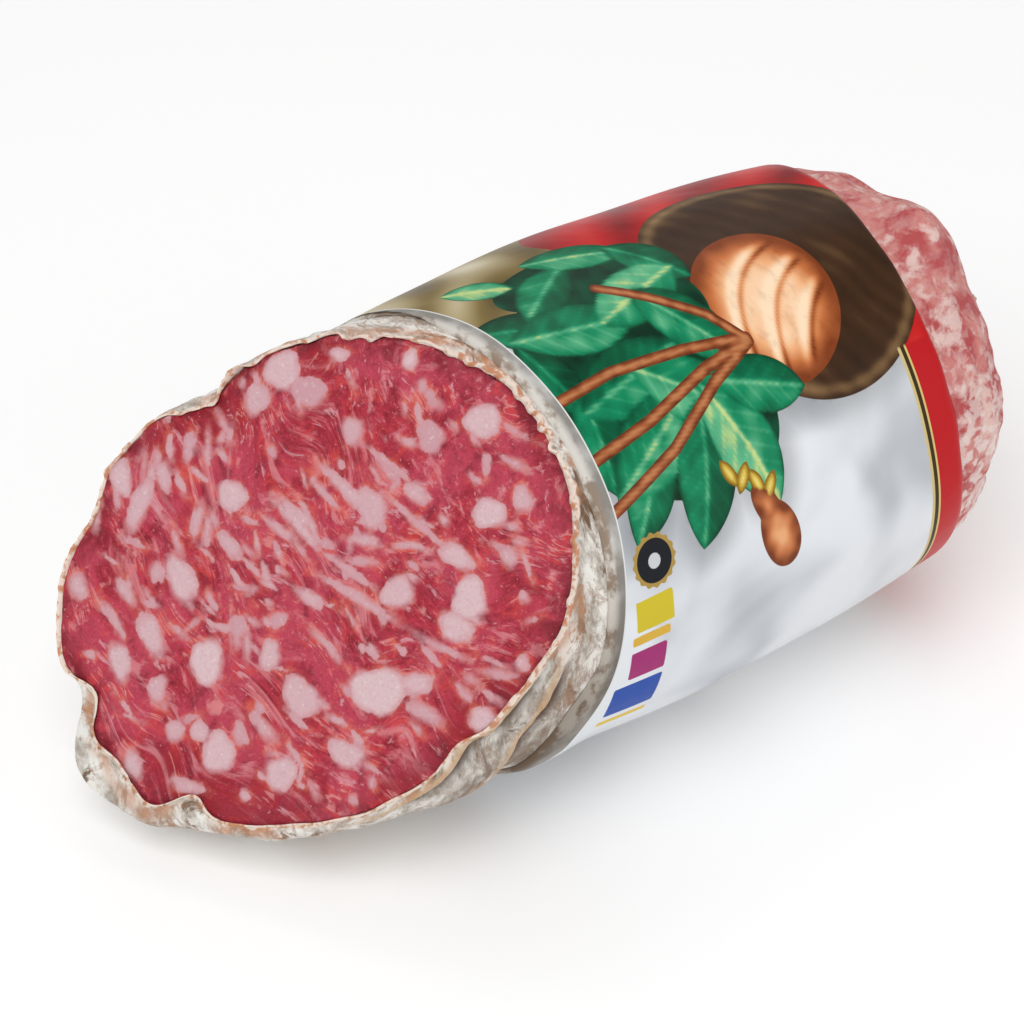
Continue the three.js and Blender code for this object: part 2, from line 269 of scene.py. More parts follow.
def gripped_radius(x, angle):
    """The barrel's radius, plus a bell-shaped bulge low on the near edge."""
    centre_x, centre_angle, length, spread, height = EDGE_BULGE
    bell = np.exp(-((x - centre_x) / length) ** 2 - ((angle - centre_angle) / spread) ** 2)
    return barrel_radius(x) + height * bell


def above_knife(points):
    """Signed distance of points from the knife's plane, positive on the side that was cut away."""
    return (points - KNIFE_POINT) @ KNIFE_NORMAL


def fold_parts(x, angle):
    """For each fold: signed distance past its line, the length of its hollow, and how much it shows."""
    for start, slant, length, fade_from, fade_to in FOLDS:
        shown = smooth(80, 100, angle) * (1 - smooth(fade_from, fade_to, angle))
        yield x - (start - slant * (angle - FOLD_ANGLE)), length, shown


def folds_depth(x, angle):
    """Each fold rises to a ridge, drops off sharply at its line and climbs back exponentially."""
    depth = 0
    for past, length, shown in fold_parts(x, angle):
        ridge = FOLD_RIDGE * np.exp(-((past - RIDGE_AT) / RIDGE_LENGTH) ** 2)
        hollow = FOLD_DEPTH * smooth(-0.5, 0.4, past) * np.exp(-np.maximum(past, 0) / length)
        depth = depth + (hollow - ridge) * shown
    return depth


def cut_end_radius(x, angle):
    """Casing radius before the sleeve: lobed cut outline, swelling by 1 - exp(-depth / length)."""
    depth = np.maximum(0, -above_knife(on_section(x, angle, RADIUS_CUT)))
    behind = 1 - np.exp(-depth / SWELL_LENGTH)
    under = (0.5 + 0.5 * np.cos((angle - SWELL_ANGLE) * DEG)) ** 1.5
    swell = SWELL_TOP + SWELL_UNDER * under + lobes(BELLY_LOBES, angle)
    outline = RADIUS_CUT + lobes(CUT_LOBES, angle) + GUT + CLEARANCE
    loose = outline + (swell - folds_depth(x, angle)) * behind
    gripped = smooth(-GRIP_LENGTH, -GRIP_LEAD, x - edge_x(NEAR_EDGE, angle))
    return loose + (gripped_radius(x, angle) - loose) * gripped


def layer_radius(x, angle, inset):
    """Radius of the skin an inset below the casing's outside. The crown is sqrt(1 - along^power)."""
    crown = CROWN_X - inset
    along = np.clip((x - CROWN_START) / (crown - CROWN_START), 0, 1)
    grown = smooth(0, END_GROWTH, x - edge_x(FAR_EDGE, angle))
    lobed = barrel_radius(x) - inset + (lobes(END_LOBES, angle) - END_WAIST) * grown
    return np.where(x < 0, cut_end_radius(x, angle) - inset, lobed * np.sqrt(1 - along ** CROWN_POWER))


def on_layer(x, angle, inset, relief=0.0):
    """Point of a layer, raised by the relief. Where the body rests, the layers stack up flat."""
    point = on_section(x, angle, layer_radius(x, angle, inset) + relief)
    lifted = smooth(*NEAR_LIFT, x - edge_x(NEAR_EDGE, angle))
    under = lifted * (1 - smooth(*FAR_DROP, x - edge_x(FAR_EDGE, angle)))
    point[..., 2] = np.maximum(point[..., 2], inset + (FILM + CLEARANCE) * under)
    return point


def cut_x(angle, inset, beyond=0.0):
    """x where a layer meets the knife's plane, shifted outwards by beyond, found by iteration."""
    x = KNIFE_POINT[0] + 0 * angle
    for _ in range(KNIFE_STEPS):
        x = x + KNIFE_STRIDE * (above_knife(on_layer(x, angle, inset)) - beyond) / np.cos(KNIFE_TILT * DEG)
    return x


def thinned(x, angle, inset):
    """Inset of an inner skin: less at the cut, where the gut dries thin, and more under the folds.

    A folded gut is several layers thick, so the skin inside passes below the deepest hollow."""
    depth = np.maximum(0, -above_knife(on_section(x, angle, RADIUS_CUT)))
    folded = 0
    for past, length, shown in fold_parts(x, angle):
        folded = np.maximum(folded, shown * smooth(-5, -2, past) * smooth(5 * length, 2 * length, past))
    at_rim = 1 - RIM_THINNING * np.exp(-depth / THINNING_DEPTH)
    return inset * at_rim + FOLD_ROOM * folded * smooth(0, 3, depth)


def tuck_at(angle):
    """How far the rim is drawn in: the tuck's lobes, and small tears in the upper half."""
    upper = smooth(-0.2, 0.4, np.cos((angle - 5) * DEG))
    tears = np.maximum(0, round_waves(angle, TEAR_LENGTH, 24))
    return lobes(TUCK_LOBES, angle) + TEAR_DEPTH * upper * tears


def tucked(points, angle):
    """Draws points near the cut towards the face's centre, along a quarter ellipse of the tuck's depth."""
    inward = KNIFE_POINT - points
    inward = inward - (inward @ KNIFE_NORMAL)[..., None] * KNIFE_NORMAL
    inward /= np.maximum(np.linalg.norm(inward, axis=-1, keepdims=True), 1e-6)
    up_to = 1 - np.clip(-above_knife(points) / TUCK_DEPTH, 0, 1)
    share = 1 - np.sqrt(1 - up_to ** 2)
    return points + (tuck_at(angle) * share)[..., None] * inward


ring = np.arange(0, 360, 5.0)
rim_ring = on_layer(cut_x(ring, GUT + CLEARANCE), ring, GUT + CLEARANCE)
print("cut outline: %.1f mm wide, furthest from the knife's plane %.4f mm"
      % (np.ptp(rim_ring[:, 1]), np.abs(above_knife(rim_ring)).max()))

# %% [markdown]
# ## Meshes from grids
# Each skin is one grid of points: rows along the body and columns round it. The columns always
# close on themselves. The rows either end in a single point at both ends, like a sock, or close too,
# like a rubber ring. Building the faces from index arrays keeps Python loops out of it, and a solid's
# signed volume tells whether its faces point out.

# %% Grid helper


def quads_between(rows, columns, wrap_rows):
    """Corner indices of the cells of a grid whose columns wrap round."""
    row = np.arange(rows if wrap_rows else rows - 1)[:, None]
    column = np.arange(columns)[None, :]
    beside = (column + 1) % columns
    above = (row + 1) % rows
    low, high = row * columns, above * columns
    corners = [low + column, low + beside, high + beside, high + column]
    return np.stack(corners, axis=-1).reshape(-1, 4)


def mesh_of_grid(name, points, fields=None, poles=True):
    """A closed mesh from a (rows, columns, 3) grid in millimetres, with named fields as attributes.

    With poles, the first and last row are single points; without, the rows close on themselves."""
    columns = points.shape[1]
    body = points[1:-1] if poles else points
    vertices = body.reshape(-1, 3) * MM
    quads = quads_between(len(body), columns, not poles)
    loops = quads.reshape(-1)
    sizes = np.full(len(quads), 4)
    if poles:
        first, last = len(vertices), len(vertices) + 1
        vertices = np.vstack([vertices, points[0, :1] * MM, points[-1, :1] * MM])
        column = np.arange(columns)
        beside = (column + 1) % columns
        top = (len(body) - 1) * columns
        start = np.stack([np.full(columns, first), beside, column], axis=-1)
        end = np.stack([np.full(columns, last), top + column, top + beside], axis=-1)
        loops = np.concatenate([loops, start.reshape(-1), end.reshape(-1)])
        sizes = np.concatenate([sizes, np.full(2 * columns, 3)])
    mesh = bpy.data.meshes.new(name)
    mesh.vertices.add(len(vertices))
    mesh.vertices.foreach_set("co", vertices.astype(np.float32).reshape(-1))
    mesh.loops.add(len(loops))
    mesh.loops.foreach_set("vertex_index", loops.astype(np.int32))
    mesh.polygons.add(len(sizes))
    starts = np.concatenate([[0], np.cumsum(sizes)[:-1]])
    mesh.polygons.foreach_set("loop_start", starts.astype(np.int32))
    mesh.polygons.foreach_set("loop_total", sizes.astype(np.int32))
    mesh.update(calc_edges=True)
    for field, values in (fields or {}).items():
        kept = values[1:-1] if poles else values
        flat = kept.reshape(-1, *values.shape[2:])
        if poles:
            flat = np.concatenate([flat, values[0, :1], values[-1, :1]])
        kind = "FLOAT_VECTOR" if flat.ndim == 2 else "FLOAT"
        made = mesh.attributes.new(field, kind, "POINT").data
        made.foreach_set("vector" if flat.ndim == 2 else "value", flat.astype(np.float32).reshape(-1))
    return mesh


def signed_volume(mesh):
    """Sum of the corner tetrahedra's volumes: positive when the faces point out."""
    mesh.calc_loop_triangles()
    corners = np.empty(len(mesh.loop_triangles) * 3, np.int32)
    mesh.loop_triangles.foreach_get("vertices", corners)
    place = np.empty(len(mesh.vertices) * 3, np.float32)
    mesh.vertices.foreach_get("co", place)
    a, b, c = place.reshape(-1, 3)[corners.reshape(-1, 3)].transpose(1, 0, 2).astype(float)
    return np.einsum("ij,ij->i", a, np.cross(b, c)).sum() / 6


def add_piece(name, mesh, material, node):
    """Puts a mesh into the scene as a piece that stands for a CAD node."""
    if signed_volume(mesh) < 0:
        mesh.flip_normals()
    mesh.shade_smooth()
    piece = bpy.data.objects.new(name, mesh)
    bpy.context.scene.collection.objects.link(piece)
    mesh.materials.append(material)
    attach(piece, "root")
    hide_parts(node)
    mesh.calc_loop_triangles()
    low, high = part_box(node)
    print("%s: %d triangles, %.1f cm3, CAD box %.1f x %.1f x %.1f mm"
          % (name, len(mesh.loop_triangles), signed_volume(mesh) * 1e6, *[1000 * s for s in (high - low)]))


# %% [markdown]
# ## Paint helper
# Procedural materials are chains of small nodes: coordinates, noise, thresholds and mixes. A short
# class that adds one node per call keeps each material readable as a recipe. Coordinates are the
# object's own, in millimetres, so grain sizes can be written as real sizes.

# %% Paint helper


def linear(red, green, blue):
    """A screen colour, 0 to 255, as linear RGBA: the sRGB curve undone."""
    c = np.array((red, green, blue)) / 255
    low, high = c / 12.92, ((c + 0.055) / 1.055) ** 2.4
    return (*np.where(c < 0.04045, low, high), 1.0)


class Paint:
    """A material in the making: each method adds a node and returns its output."""

    def __init__(self, name):
        self.material = bpy.data.materials.new(name)
        self.material.use_nodes = True
        self.tree = self.material.node_tree
        self.shader = self.tree.nodes["Principled BSDF"]

    def node(self, kind, inputs=(), **settings):
        """Adds a node with settings, and fills its inputs by number or name."""
        made = self.tree.nodes.new(kind)
        for key, value in settings.items():
            setattr(made, key, value)
        for key, value in dict(inputs).items():
            if isinstance(value, bpy.types.NodeSocket):
                self.tree.links.new(value, made.inputs[key])
            elif value is not None:
                made.inputs[key].default_value = value
        return made

    def field(self, name):
        """A float attribute of the mesh."""
        return self.node("ShaderNodeAttribute", attribute_name=name).outputs["Fac"]

    def vector_field(self, name):
        """A vector attribute of the mesh."""
        return self.node("ShaderNodeAttribute", attribute_name=name).outputs["Vector"]

    def stretched(self, vector, factor):
        """A vector times a factor for each axis."""
        return self.node("ShaderNodeVectorMath", {0: vector, 1: factor}, operation="MULTIPLY").outputs[0]

    def place(self, stretch=(1, 1, 1)):
        """Object coordinates in millimetres, times a stretch for each axis."""
        coords = self.node("ShaderNodeTexCoord").outputs["Object"]
        return self.stretched(coords, tuple(1000 * s for s in stretch))

    def noise(self, vector, size, detail=3.0, rough=0.55, warp=0.0):
        """Fractal noise from 0 to 1 whose largest grains are about size across."""
        inputs = {"Vector": vector, "Scale": 1 / size, "Detail": detail}
        inputs.update({"Roughness": rough, "Distortion": warp})
        return self.node("ShaderNodeTexNoise", inputs).outputs["Fac"]

    def math(self, operation, first, second=None):
        """One arithmetic step."""
        return self.node("ShaderNodeMath", {0: first, 1: second}, operation=operation).outputs[0]

    def scaled(self, value, factor):
        """A value times a number."""
        return self.math("MULTIPLY", value, factor)

    def rise(self, value, low, high):
        """0 to 1 as the value goes from low to high, along a smooth step."""
        inputs = {"Value": value, "From Min": low, "From Max": high}
        return self.node("ShaderNodeMapRange", inputs, interpolation_type="SMOOTHSTEP").outputs[0]

    def mix(self, share, first, second, blend="MIX"):
        """A mix of two colours."""
        inputs = {0: share, 6: first, 7: second}
        return self.node("ShaderNodeMix", inputs, data_type="RGBA", blend_type=blend).outputs[2]

    def tint(self, colour, over, share, amount=1.0):
        """Lays another colour over one, by an amount of the share at each point."""
        return self.mix(self.scaled(share, amount), colour, linear(*over))

    def glaze(self, colour, over, value, low, high, amount=1.0):
        """Lays another colour over one where a value rises from low to high."""
        return self.tint(colour, over, self.rise(value, low, high), amount)

    def both(self, first, second):
        """The product of two shares: 1 only where both are."""
        return self.math("MULTIPLY", first, second)

    def bump(self, height, distance, strength=1.0, under=None):
        """A normal from a height field, where distance is what one unit of height stands for, in mm."""
        inputs = {"Height": height, "Distance": distance * MM, "Strength": strength, "Normal": under}
        return self.node("ShaderNodeBump", inputs).outputs[0]

    def finish(self, **sockets):
        """Connects or sets the shader's sockets and returns the material."""
        for key, value in sockets.items():
            socket = self.shader.inputs[key.replace("_", " ")]
            if isinstance(value, bpy.types.NodeSocket):
                self.tree.links.new(value, socket)
            else:
                socket.default_value = value
        return self.material


print("paint helper ready")

# %% [markdown]
# ## The cut meat
# Inside is a coarse paste of lean pork with cubes of back fat. The knife leaves a nearly flat face:
# the fat stands a little proud, because it is firmer, and the paste shrinks back at the rim as it
# dries. The face could be a disc with a picture on it, but real relief catches the light, so it is a
# polar grid, dense enough to carry the outline of every cube of fat as a signed distance.

# %% Face frame
view_right = np.array(axes_of_view(VIEW_AZIMUTH, VIEW_ELEVATION, VIEW_ROLL)[0])
FACE_ACROSS = view_right - KNIFE_NORMAL * (view_right @ KNIFE_NORMAL)
FACE_ACROSS /= np.linalg.norm(FACE_ACROSS)
FACE_UP = np.cross(KNIFE_NORMAL, FACE_ACROSS)
print("face axes:", FACE_ACROSS.round(2), FACE_UP.round(2))


def on_face(points):
    """Coordinates of points across and up the cut face, in mm from the knife's point."""
    return (points - KNIFE_POINT) @ FACE_ACROSS, (points - KNIFE_POINT) @ FACE_UP


# %% [markdown]
# ### Cubes of fat
# Back fat is diced before it is mixed in, and the knife cuts the dice at any level, so the pieces are
# rounded, uneven shapes of 2 to 9 mm. The large ones are listed one by one, with place, size, tilt and
# paleness. The crumbs between them are drawn at random and lie along the flow of the paste.

# %% Fat pieces
# Across, up, width, height, tilt in degrees, paleness.
FAT_DICE = [
    (-4, 31, 6.3, 5.4, 10, 0.8), (-8, 27, 3.8, 5.0, -20, 0.6), (5, 33, 3.0, 2.1, 0, 0.8),
    (16, 32, 2.4, 3.0, 0, 1.0), (27, 23, 5.5, 5.1, 20, 0.85), (19, 21, 4.2, 4.5, 30, 0.35),
    (7, 22, 3.4, 3.8, 0, 0.55), (0, 28, 5.7, 4.5, -15, 0.35), (-30, 16, 3.8, 5.7, 10, 0.8),
    (-27, 12, 3.2, 8.5, -22, 0.7), (-23, 16, 2.5, 4.5, 15, 0.6), (-12, 13, 4.6, 4.6, 0, 0.8),
    (10, 11, 4.5, 6.0, 25, 0.6), (17, 13, 5.1, 2.5, -35, 0.6), (28, 10, 5.0, 4.5, 0, 0.9),
    (33, 12, 3.1, 3.8, 10, 0.6), (-2, 10, 6.3, 2.9, -40, 0.6), (23, 4, 6.3, 3.1, -30, 0.8),
    (31, 4, 2.5, 3.1, 0, 0.5), (14, -1, 5.1, 4.8, 20, 0.75), (25, -2, 5.4, 6.3, -15, 0.95),
    (23, -6, 6.0, 4.0, -20, 0.85), (-20, 1, 4.6, 6.9, 25, 0.8), (-24, 2, 2.2, 3.4, 0, 0.5),
    (-37, 0, 2.9, 4.3, 15, 0.6), (-16, -11, 5.4, 6.6, 10, 1.0), (-30, -11, 3.8, 5.4, 20, 0.8),
    (-6, -10, 3.4, 4.6, -10, 0.75), (-1, -16, 6.9, 5.1, -35, 0.7), (11, -15, 8.5, 6.9, 10, 1.0),
    (17, -14, 6.0, 3.0, 8, 0.8), (-25, -7, 3.4, 7.5, 24, 0.75), (-11, -6, 2.9, 3.4, 0, 0.35),
    (-24, -15, 2.9, 4.3, 0, 0.6), (-14, -24, 5.1, 6.3, 15, 0.85), (-17, -21, 3.1, 3.4, 0, 0.7),
    (-21, -21, 3.4, 2.9, 20, 0.6), (-4, -27, 5.0, 5.1, 0, 0.8), (6, -24, 5.7, 4.0, -20, 0.75),
    (27, -19, 4.3, 3.8, 10, 0.8), (18, -18, 6.9, 2.2, -30, 0.5), (33, -11, 2.2, 2.5, 0, 0.6),
    (-28, -26, 2.9, 4.3, 10, 0.75), (-19, -29, 5.7, 2.2, -15, 0.6), (-4.6, -5, 3.0, 2.4, 20, 0.35),
    (-10.6, -21.4, 2.2, 4, 15, 0.4),
]
# Pieces drawn out along the grain: across, up, length, width, tilt in degrees, paleness.
FAT_STREAKS = [
    (-1.6, 9, 10, 2.2, -46, 0.75), (-4.4, 8, 7.5, 1.4, -34, 0.6), (6.8, 12.9, 12, 2.2, -43, 0.65),
    (2.6, 13.2, 6.5, 1.1, -46, 0.5), (0.4, -1.8, 5.2, 2.1, -30, 0.7), (0.5, 8.8, 7, 1.4, -65, 0.6),
    (9, 6.4, 5, 1.9, -12, 0.6), (17, 8.8, 13, 1.0, -40, 0.5), (6.4, 2.2, 9.6, 1.3, -32, 0.55),
    (7.9, -1.8, 12, 1.6, -28, 0.6), (33.5, 3, 4, 0.8, -70, 0.5), (32, 21.4, 4.5, 0.9, -28, 0.4),
    (-7, -20.3, 6.6, 1.9, -48, 0.55), (-31, -5, 6, 1.4, -55, 0.5), (-29.2, -0.7, 4.6, 2.0, -60, 0.6),
    (-12.2, 5.8, 5.2, 2.6, -50, 0.6), (-16, 7.7, 4.7, 1.5, 80, 0.6), (-17.7, 9.6, 5, 1.9, 75, 0.6),
    (-22, 20.3, 3.6, 1.3, 90, 0.6), (-18.9, 20.3, 4.2, 2.1, 82, 0.45), (-15.9, 19.6, 4.4, 1.2, 90, 0.6),
    (13, 17, 9, 1.0, -38, 0.5), (21, -9, 8, 1.1, -24, 0.5), (3, -8.5, 7, 1.2, -45, 0.5),
]
# Across, up, radius of the spots where juice stands, deep red and wet.
WET_SPOTS = [
    (-6, -31, 7), (-14, -31, 5), (25, -22, 6), (30, -16, 5), (-20, -27, 4), (14, -29, 5),
    (-24, 20, 4), (-14, 24, 5), (2, 34, 4),
]
DICE_SQUARENESS = 2.1
WHORL_CENTRE = (45, 38)
CRUMB_COUNT = 150


def whorl_at(across, up):
    """Radius and angle about the paste's whorl: the grain runs round it, as when the meat is pushed in."""
    away, over = across - WHORL_CENTRE[0], up - WHORL_CENTRE[1]
    return np.hypot(away, over), np.arctan2(over, away)


def fat_crumbs():
    """Small pieces at random places, longer along the grain than across it."""
    draw = np.random.default_rng(11)
    spread, turn = np.sqrt(draw.uniform(0, 1, CRUMB_COUNT)), draw.uniform(0, 2 * np.pi, CRUMB_COUNT)
    across, up = 37 * spread * np.cos(turn), 33 * spread * np.sin(turn)
    grain = whorl_at(across, up)[1] / DEG + 90 + draw.normal(0, 25, CRUMB_COUNT)
    width = draw.gamma(4, 0.45, CRUMB_COUNT) + 0.9
    height = draw.uniform(0.6, 1.5, CRUMB_COUNT)
    return np.stack([across, up, width, height, grain, draw.uniform(0.2, 0.8, CRUMB_COUNT)], axis=-1)


def fat_fields(across, up):
    """Signed distance into the fat, and its paleness: the best of all pieces at each point.

    A piece is a superellipse whose edge moves in and out with the 2nd, 3rd and 5th wave round it."""
    deepest = np.full(across.shape, -9.0)
    paleness = np.full(across.shape, 0.5)
    draw = np.random.default_rng(5)
    for place_across, place_up, width, height, tilt, pale in [*FAT_DICE, *FAT_STREAKS, *fat_crumbs()]:
        away, over = across - place_across, up - place_up
        cosine, sine = np.cos(tilt * DEG), np.sin(tilt * DEG)
        a = (cosine * away + sine * over) / (width / 2)
        b = (cosine * over - sine * away) / (height / 2)
        turn = np.arctan2(b, a)
        phase = draw.uniform(0, 2 * np.pi, 3)
        edge = 1 + 0.06 * np.sin(2 * turn + phase[0]) + 0.07 * np.sin(3 * turn + phase[1])
        edge += 0.03 * np.sin(5 * turn + phase[2])
        reach = (np.abs(a) ** DICE_SQUARENESS + np.abs(b) ** DICE_SQUARENESS) ** (1 / DICE_SQUARENESS)
        inside = (edge - reach) * min(width, height) / 2
        paleness = np.where(inside > deepest, pale, paleness)
        deepest = np.maximum(deepest, inside)
    return deepest, paleness


print("fat pieces:", len(FAT_DICE), "dice,", len(FAT_STREAKS), "streaks and", CRUMB_COUNT, "crumbs")

# %% Filling surface
FILLING_COLUMNS = 480
FACE_ROWS = 150
SIDE_ROWS = 46
FILLING_INSET = 1.05
FACE_CROWDING, SIDE_CROWDING = 0.85, 1.5
# The fat stands proud by this much, and the paste shrinks back at the rim by that much.
FAT_RELIEF, RIM_SHRINK, SHRINK_LENGTH = 0.14, 0.25, 0.7


def side_rows(angle, inset, rows):
    """x of rows from the cut to the crown's tip, a sine apart, so that they crowd where it rounds over."""
    start = cut_x(angle, inset)
    share = np.sin(np.linspace(0, 1, rows)[:, None] ** SIDE_CROWDING * np.pi / 2)
    return start + (CROWN_X - inset - start) * share


def filling_grid():
    """Points and fields of the filling: spokes from the face's centre to its rim, then the side."""
    angle = np.linspace(0, 360, FILLING_COLUMNS, endpoint=False)[None, :]
    rim_inset = FILLING_INSET * (1 - RIM_THINNING)
    rim = tucked(on_layer(cut_x(angle, rim_inset), angle, rim_inset), angle)
    share = np.linspace(0, 1, FACE_ROWS)[:, None] ** FACE_CROWDING
    face = KNIFE_POINT + (rim - KNIFE_POINT) * share[..., None]
    across, up = on_face(face)
    from_rim = (1 - share) * np.linalg.norm(rim - KNIFE_POINT, axis=-1)
    fat, pale = fat_fields(across, up)
    flat = np.stack([across, up], axis=-1)
    relief = FAT_RELIEF * smooth(-0.3, 0.5, fat) * (0.5 + pale) + 0.12 * waves(flat, 16, 1)
    relief += 0.035 * waves(flat, 2.4, 2, 30) + 0.02 * waves(flat, 1.2, 3, 30)
    relief -= RIM_SHRINK * np.exp(-from_rim / SHRINK_LENGTH)
    face = face + relief[..., None] * KNIFE_NORMAL
    wet = sum(np.exp(-((across - a) ** 2 + (up - u) ** 2) / r ** 2) for a, u, r in WET_SPOTS)
    radius, turn = whorl_at(across, up)
    grain = [radius + 1.6 * waves(flat, 13, 4), 48 * turn + 2.5 * waves(flat, 17, 6), pale]
    grain = np.stack(grain, axis=-1)
    x = side_rows(angle, FILLING_INSET, SIDE_ROWS)[1:]
    side = tucked(on_layer(x, angle + 0 * x, thinned(x, angle, FILLING_INSET)), angle)
    side_fat = np.full(x.shape, -2.0)
    side_grain = np.stack([side[..., 1], side[..., 0], 0.5 + 0 * x], axis=-1)
    points = np.concatenate([face, side])
    fields = {
        "fat": np.concatenate([fat, side_fat]),
        "grain": np.concatenate([grain, side_grain]),
        "from_rim": np.concatenate([from_rim, 0 * x]),
        "wet": np.concatenate([wet, 0 * x]),
    }
    return points, fields


filling_points, filling_fields = filling_grid()
print("fat covers %.0f%% of the face" % (100 * (filling_fields["fat"][:FACE_ROWS] > 0).mean()))

# %% [markdown]
# ### Lean and fat finish
# Cured lean is wet-looking and deep rose, made of short fibres that run with the paste, darker where
# it dried at the rim. Fat is pale pink and a little translucent, and a thin halo of stained fat
# surrounds each piece. Noise stretched along the grain gives fibres and hair-thin threads of gristle,
# and light noise on the fat's distance roughens its outline as a knife does.

# %% Meat finish


def meat_finish():
    """Lean, fibres, gristle threads, halo and fat, from the fat and grain fields."""
    paint = Paint("cured_meat")
    place = paint.place()
    grain = paint.vector_field("grain")
    pale = paint.node("ShaderNodeSeparateXYZ", {0: grain}).outputs[2]
    along = paint.stretched(grain, (1.0, 0.42, 0.0))
    thin = paint.stretched(grain, (1.0, 0.2, 0.0))
    fine = paint.noise(place, 0.5, 4, 0.65)
    middle = paint.noise(place, 3.2, 4, 0.6, 0.5)
    broad = paint.noise(place, 9, 2)
    fibre = paint.noise(along, 1.2, 4, 0.7, 0.3)
    smear = paint.noise(along, 2.4, 5, 0.66, 0.5)
    from_rim = paint.field("from_rim")

    lean = paint.mix(paint.rise(fibre, 0.3, 0.7), linear(140, 10, 36), linear(192, 46, 68))
    lean = paint.glaze(lean, (198, 70, 94), broad, 0.42, 0.6, 0.6)
    lean = paint.glaze(lean, (216, 66, 58), middle, 0.5, 0.7, 0.6)
    lean = paint.glaze(lean, (120, 4, 30), middle, 0.45, 0.3, 0.6)
    lean = paint.glaze(lean, (112, 8, 26), fine, 0.52, 0.7, 0.35)
    lean = paint.glaze(lean, (222, 122, 126), fine, 0.42, 0.3, 0.4)
    lean = paint.glaze(lean, (220, 140, 146), smear, 0.52, 0.66, 0.65)
    rim = paint.both(paint.rise(from_rim, 4.5, 0.2), paint.rise(middle, 0.7, 0.35))
    lean = paint.tint(lean, (116, 4, 24), rim, 0.75)
    wet = paint.both(paint.rise(paint.field("wet"), 0.2, 0.8), paint.rise(middle, 0.35, 0.55))
    lean = paint.tint(lean, (150, 2, 24), wet, 0.6)

    thread = paint.noise(thin, 3.0, 3, 0.6, 0.3)
    vein = paint.math("ABSOLUTE", paint.math("SUBTRACT", thread, 0.5))
    vein = paint.both(paint.rise(vein, 0.03, 0.004), paint.rise(middle, 0.5, 0.62))
    lean = paint.tint(lean, (230, 168, 168), vein, 0.45)
    lean = paint.glaze(lean, (230, 172, 168), paint.noise(place, 0.7, 2, 0.5), 0.7, 0.75, 0.45)

    uneven = paint.scaled(paint.math("SUBTRACT", paint.noise(place, 1.3, 4, 0.55), 0.5), 0.9)
    fat = paint.math("ADD", paint.field("fat"), uneven)
    soft = paint.scaled(paint.rise(paint.noise(place, 3.4, 2), 0.42, 0.66), 0.6)
    is_fat = paint.rise(paint.math("DIVIDE", fat, paint.math("ADD", 0.12, soft)), -1.0, 1.0)
    halo = paint.both(paint.rise(fat, -0.8, 0.1), paint.rise(middle, 0.35, 0.65))
    lean = paint.tint(lean, (224, 120, 100), halo, 0.55)
    body = paint.mix(pale, linear(196, 132, 144), linear(220, 190, 194))
    body = paint.glaze(body, (200, 150, 162), fine, 0.48, 0.7, 0.4)
    # Painted highlights: fine white specks on the fat stand for glints on its moist surface.
    body = paint.glaze(body, (240, 226, 226), paint.noise(place, 0.6, 3), 0.56, 0.74, 0.4)
    body = paint.glaze(body, (206, 146, 152), fat, 1.0, 0.0, 0.7)
    flecks = paint.rise(paint.noise(along, 1.7, 5, 0.62, 0.5), 0.6, 0.67)
    is_fleck = paint.both(flecks, paint.rise(from_rim, 0.4, 2.0))
    colour = paint.tint(lean, (212, 150, 158), is_fleck, 0.8)
    colour = paint.mix(is_fat, colour, body)

    gloss = paint.math("ADD", 0.24, paint.scaled(paint.noise(place, 1.6, 3), 0.26))
    low = paint.bump(paint.noise(place, 0.9, 5, 0.75), 0.5, 0.7)
    high = paint.bump(fibre, 0.3, 0.5, low)
    return paint.finish(
        Base_Color=colour, Roughness=gloss, Normal=high, Specular_IOR_Level=0.3,
        Subsurface_Weight=0.12, Subsurface_Radius=(1.0, 0.35, 0.25), Subsurface_Scale=0.001)


filling_mesh = mesh_of_grid("cured_filling", filling_points, filling_fields)
add_piece("cured_filling", filling_mesh, meat_finish(), "filling")

# %% [markdown]
# ## The gut casing
# Natural gut is a skin under a millimetre thick that dries onto the meat. Here it is a millimetre
# thick, and thinner at its rim. Near the cut it wrinkles round the body and folds where it was loose,
# and the knife tears its rim a little. At the far end it is gathered into pleats and tied. It is one
# closed skin, inside and outside, so that the torn rim has a real edge. Its wrinkles are heights
# along the surface's own normals.

# %% Casing surface
CASING_COLUMNS = 432
STRIP_ROWS = 92
HIDDEN_ROWS = 20
CROWN_ROWS = 52
LIP_ROWS = 5
# No hollow goes through the gut's wall.
DEEPEST_HOLLOW = 0.7
LIFT_OFF_FLOOR = 0.02
LOOK_BACK = 6
CURL_DEPTH, WRINKLE_START = 1.1, 1.5
RIM_FLAPS = [(312, 0.9, 4), (338, 0.9, 3), (349, 1.1, 4), (358, 0.6, 3), (40, 0.5, 6), (118, 0.5, 4)]
RIM_CURLS = [(312, 0.5, 6), (343, 0.4, 9), (30, 0.7, 22), (75, 0.5, 18)]


def rim_shape(angle):
    """How far the torn rim stands past the knife's plane, and how far it curls out."""
    ragged = 0.3 + 0.7 * (0.5 + 0.5 * np.cos((angle - 15) * DEG))
    torn = 0.15 + ragged * 0.22 * np.maximum(0, round_waves(angle, 3.0, 21)) + lobes(RIM_FLAPS, angle)
    torn += 0.18 * ragged * round_waves(angle, 1.6, 22)
    curl = 0.05 + 0.15 * round_waves(angle, 7, 23) + lobes(RIM_CURLS, angle)
    return torn, np.maximum(curl, -0.1)


def curled(x, angle, inset):
    """Layer point with the rim's curl, which fades with depth from the cut, and its tuck."""
    curl = rim_shape(angle)[1]
    depth = np.maximum(0, -above_knife(on_layer(x, angle, inset)))
    return tucked(on_layer(x, angle, inset, curl * np.exp(-depth / CURL_DEPTH)), angle)


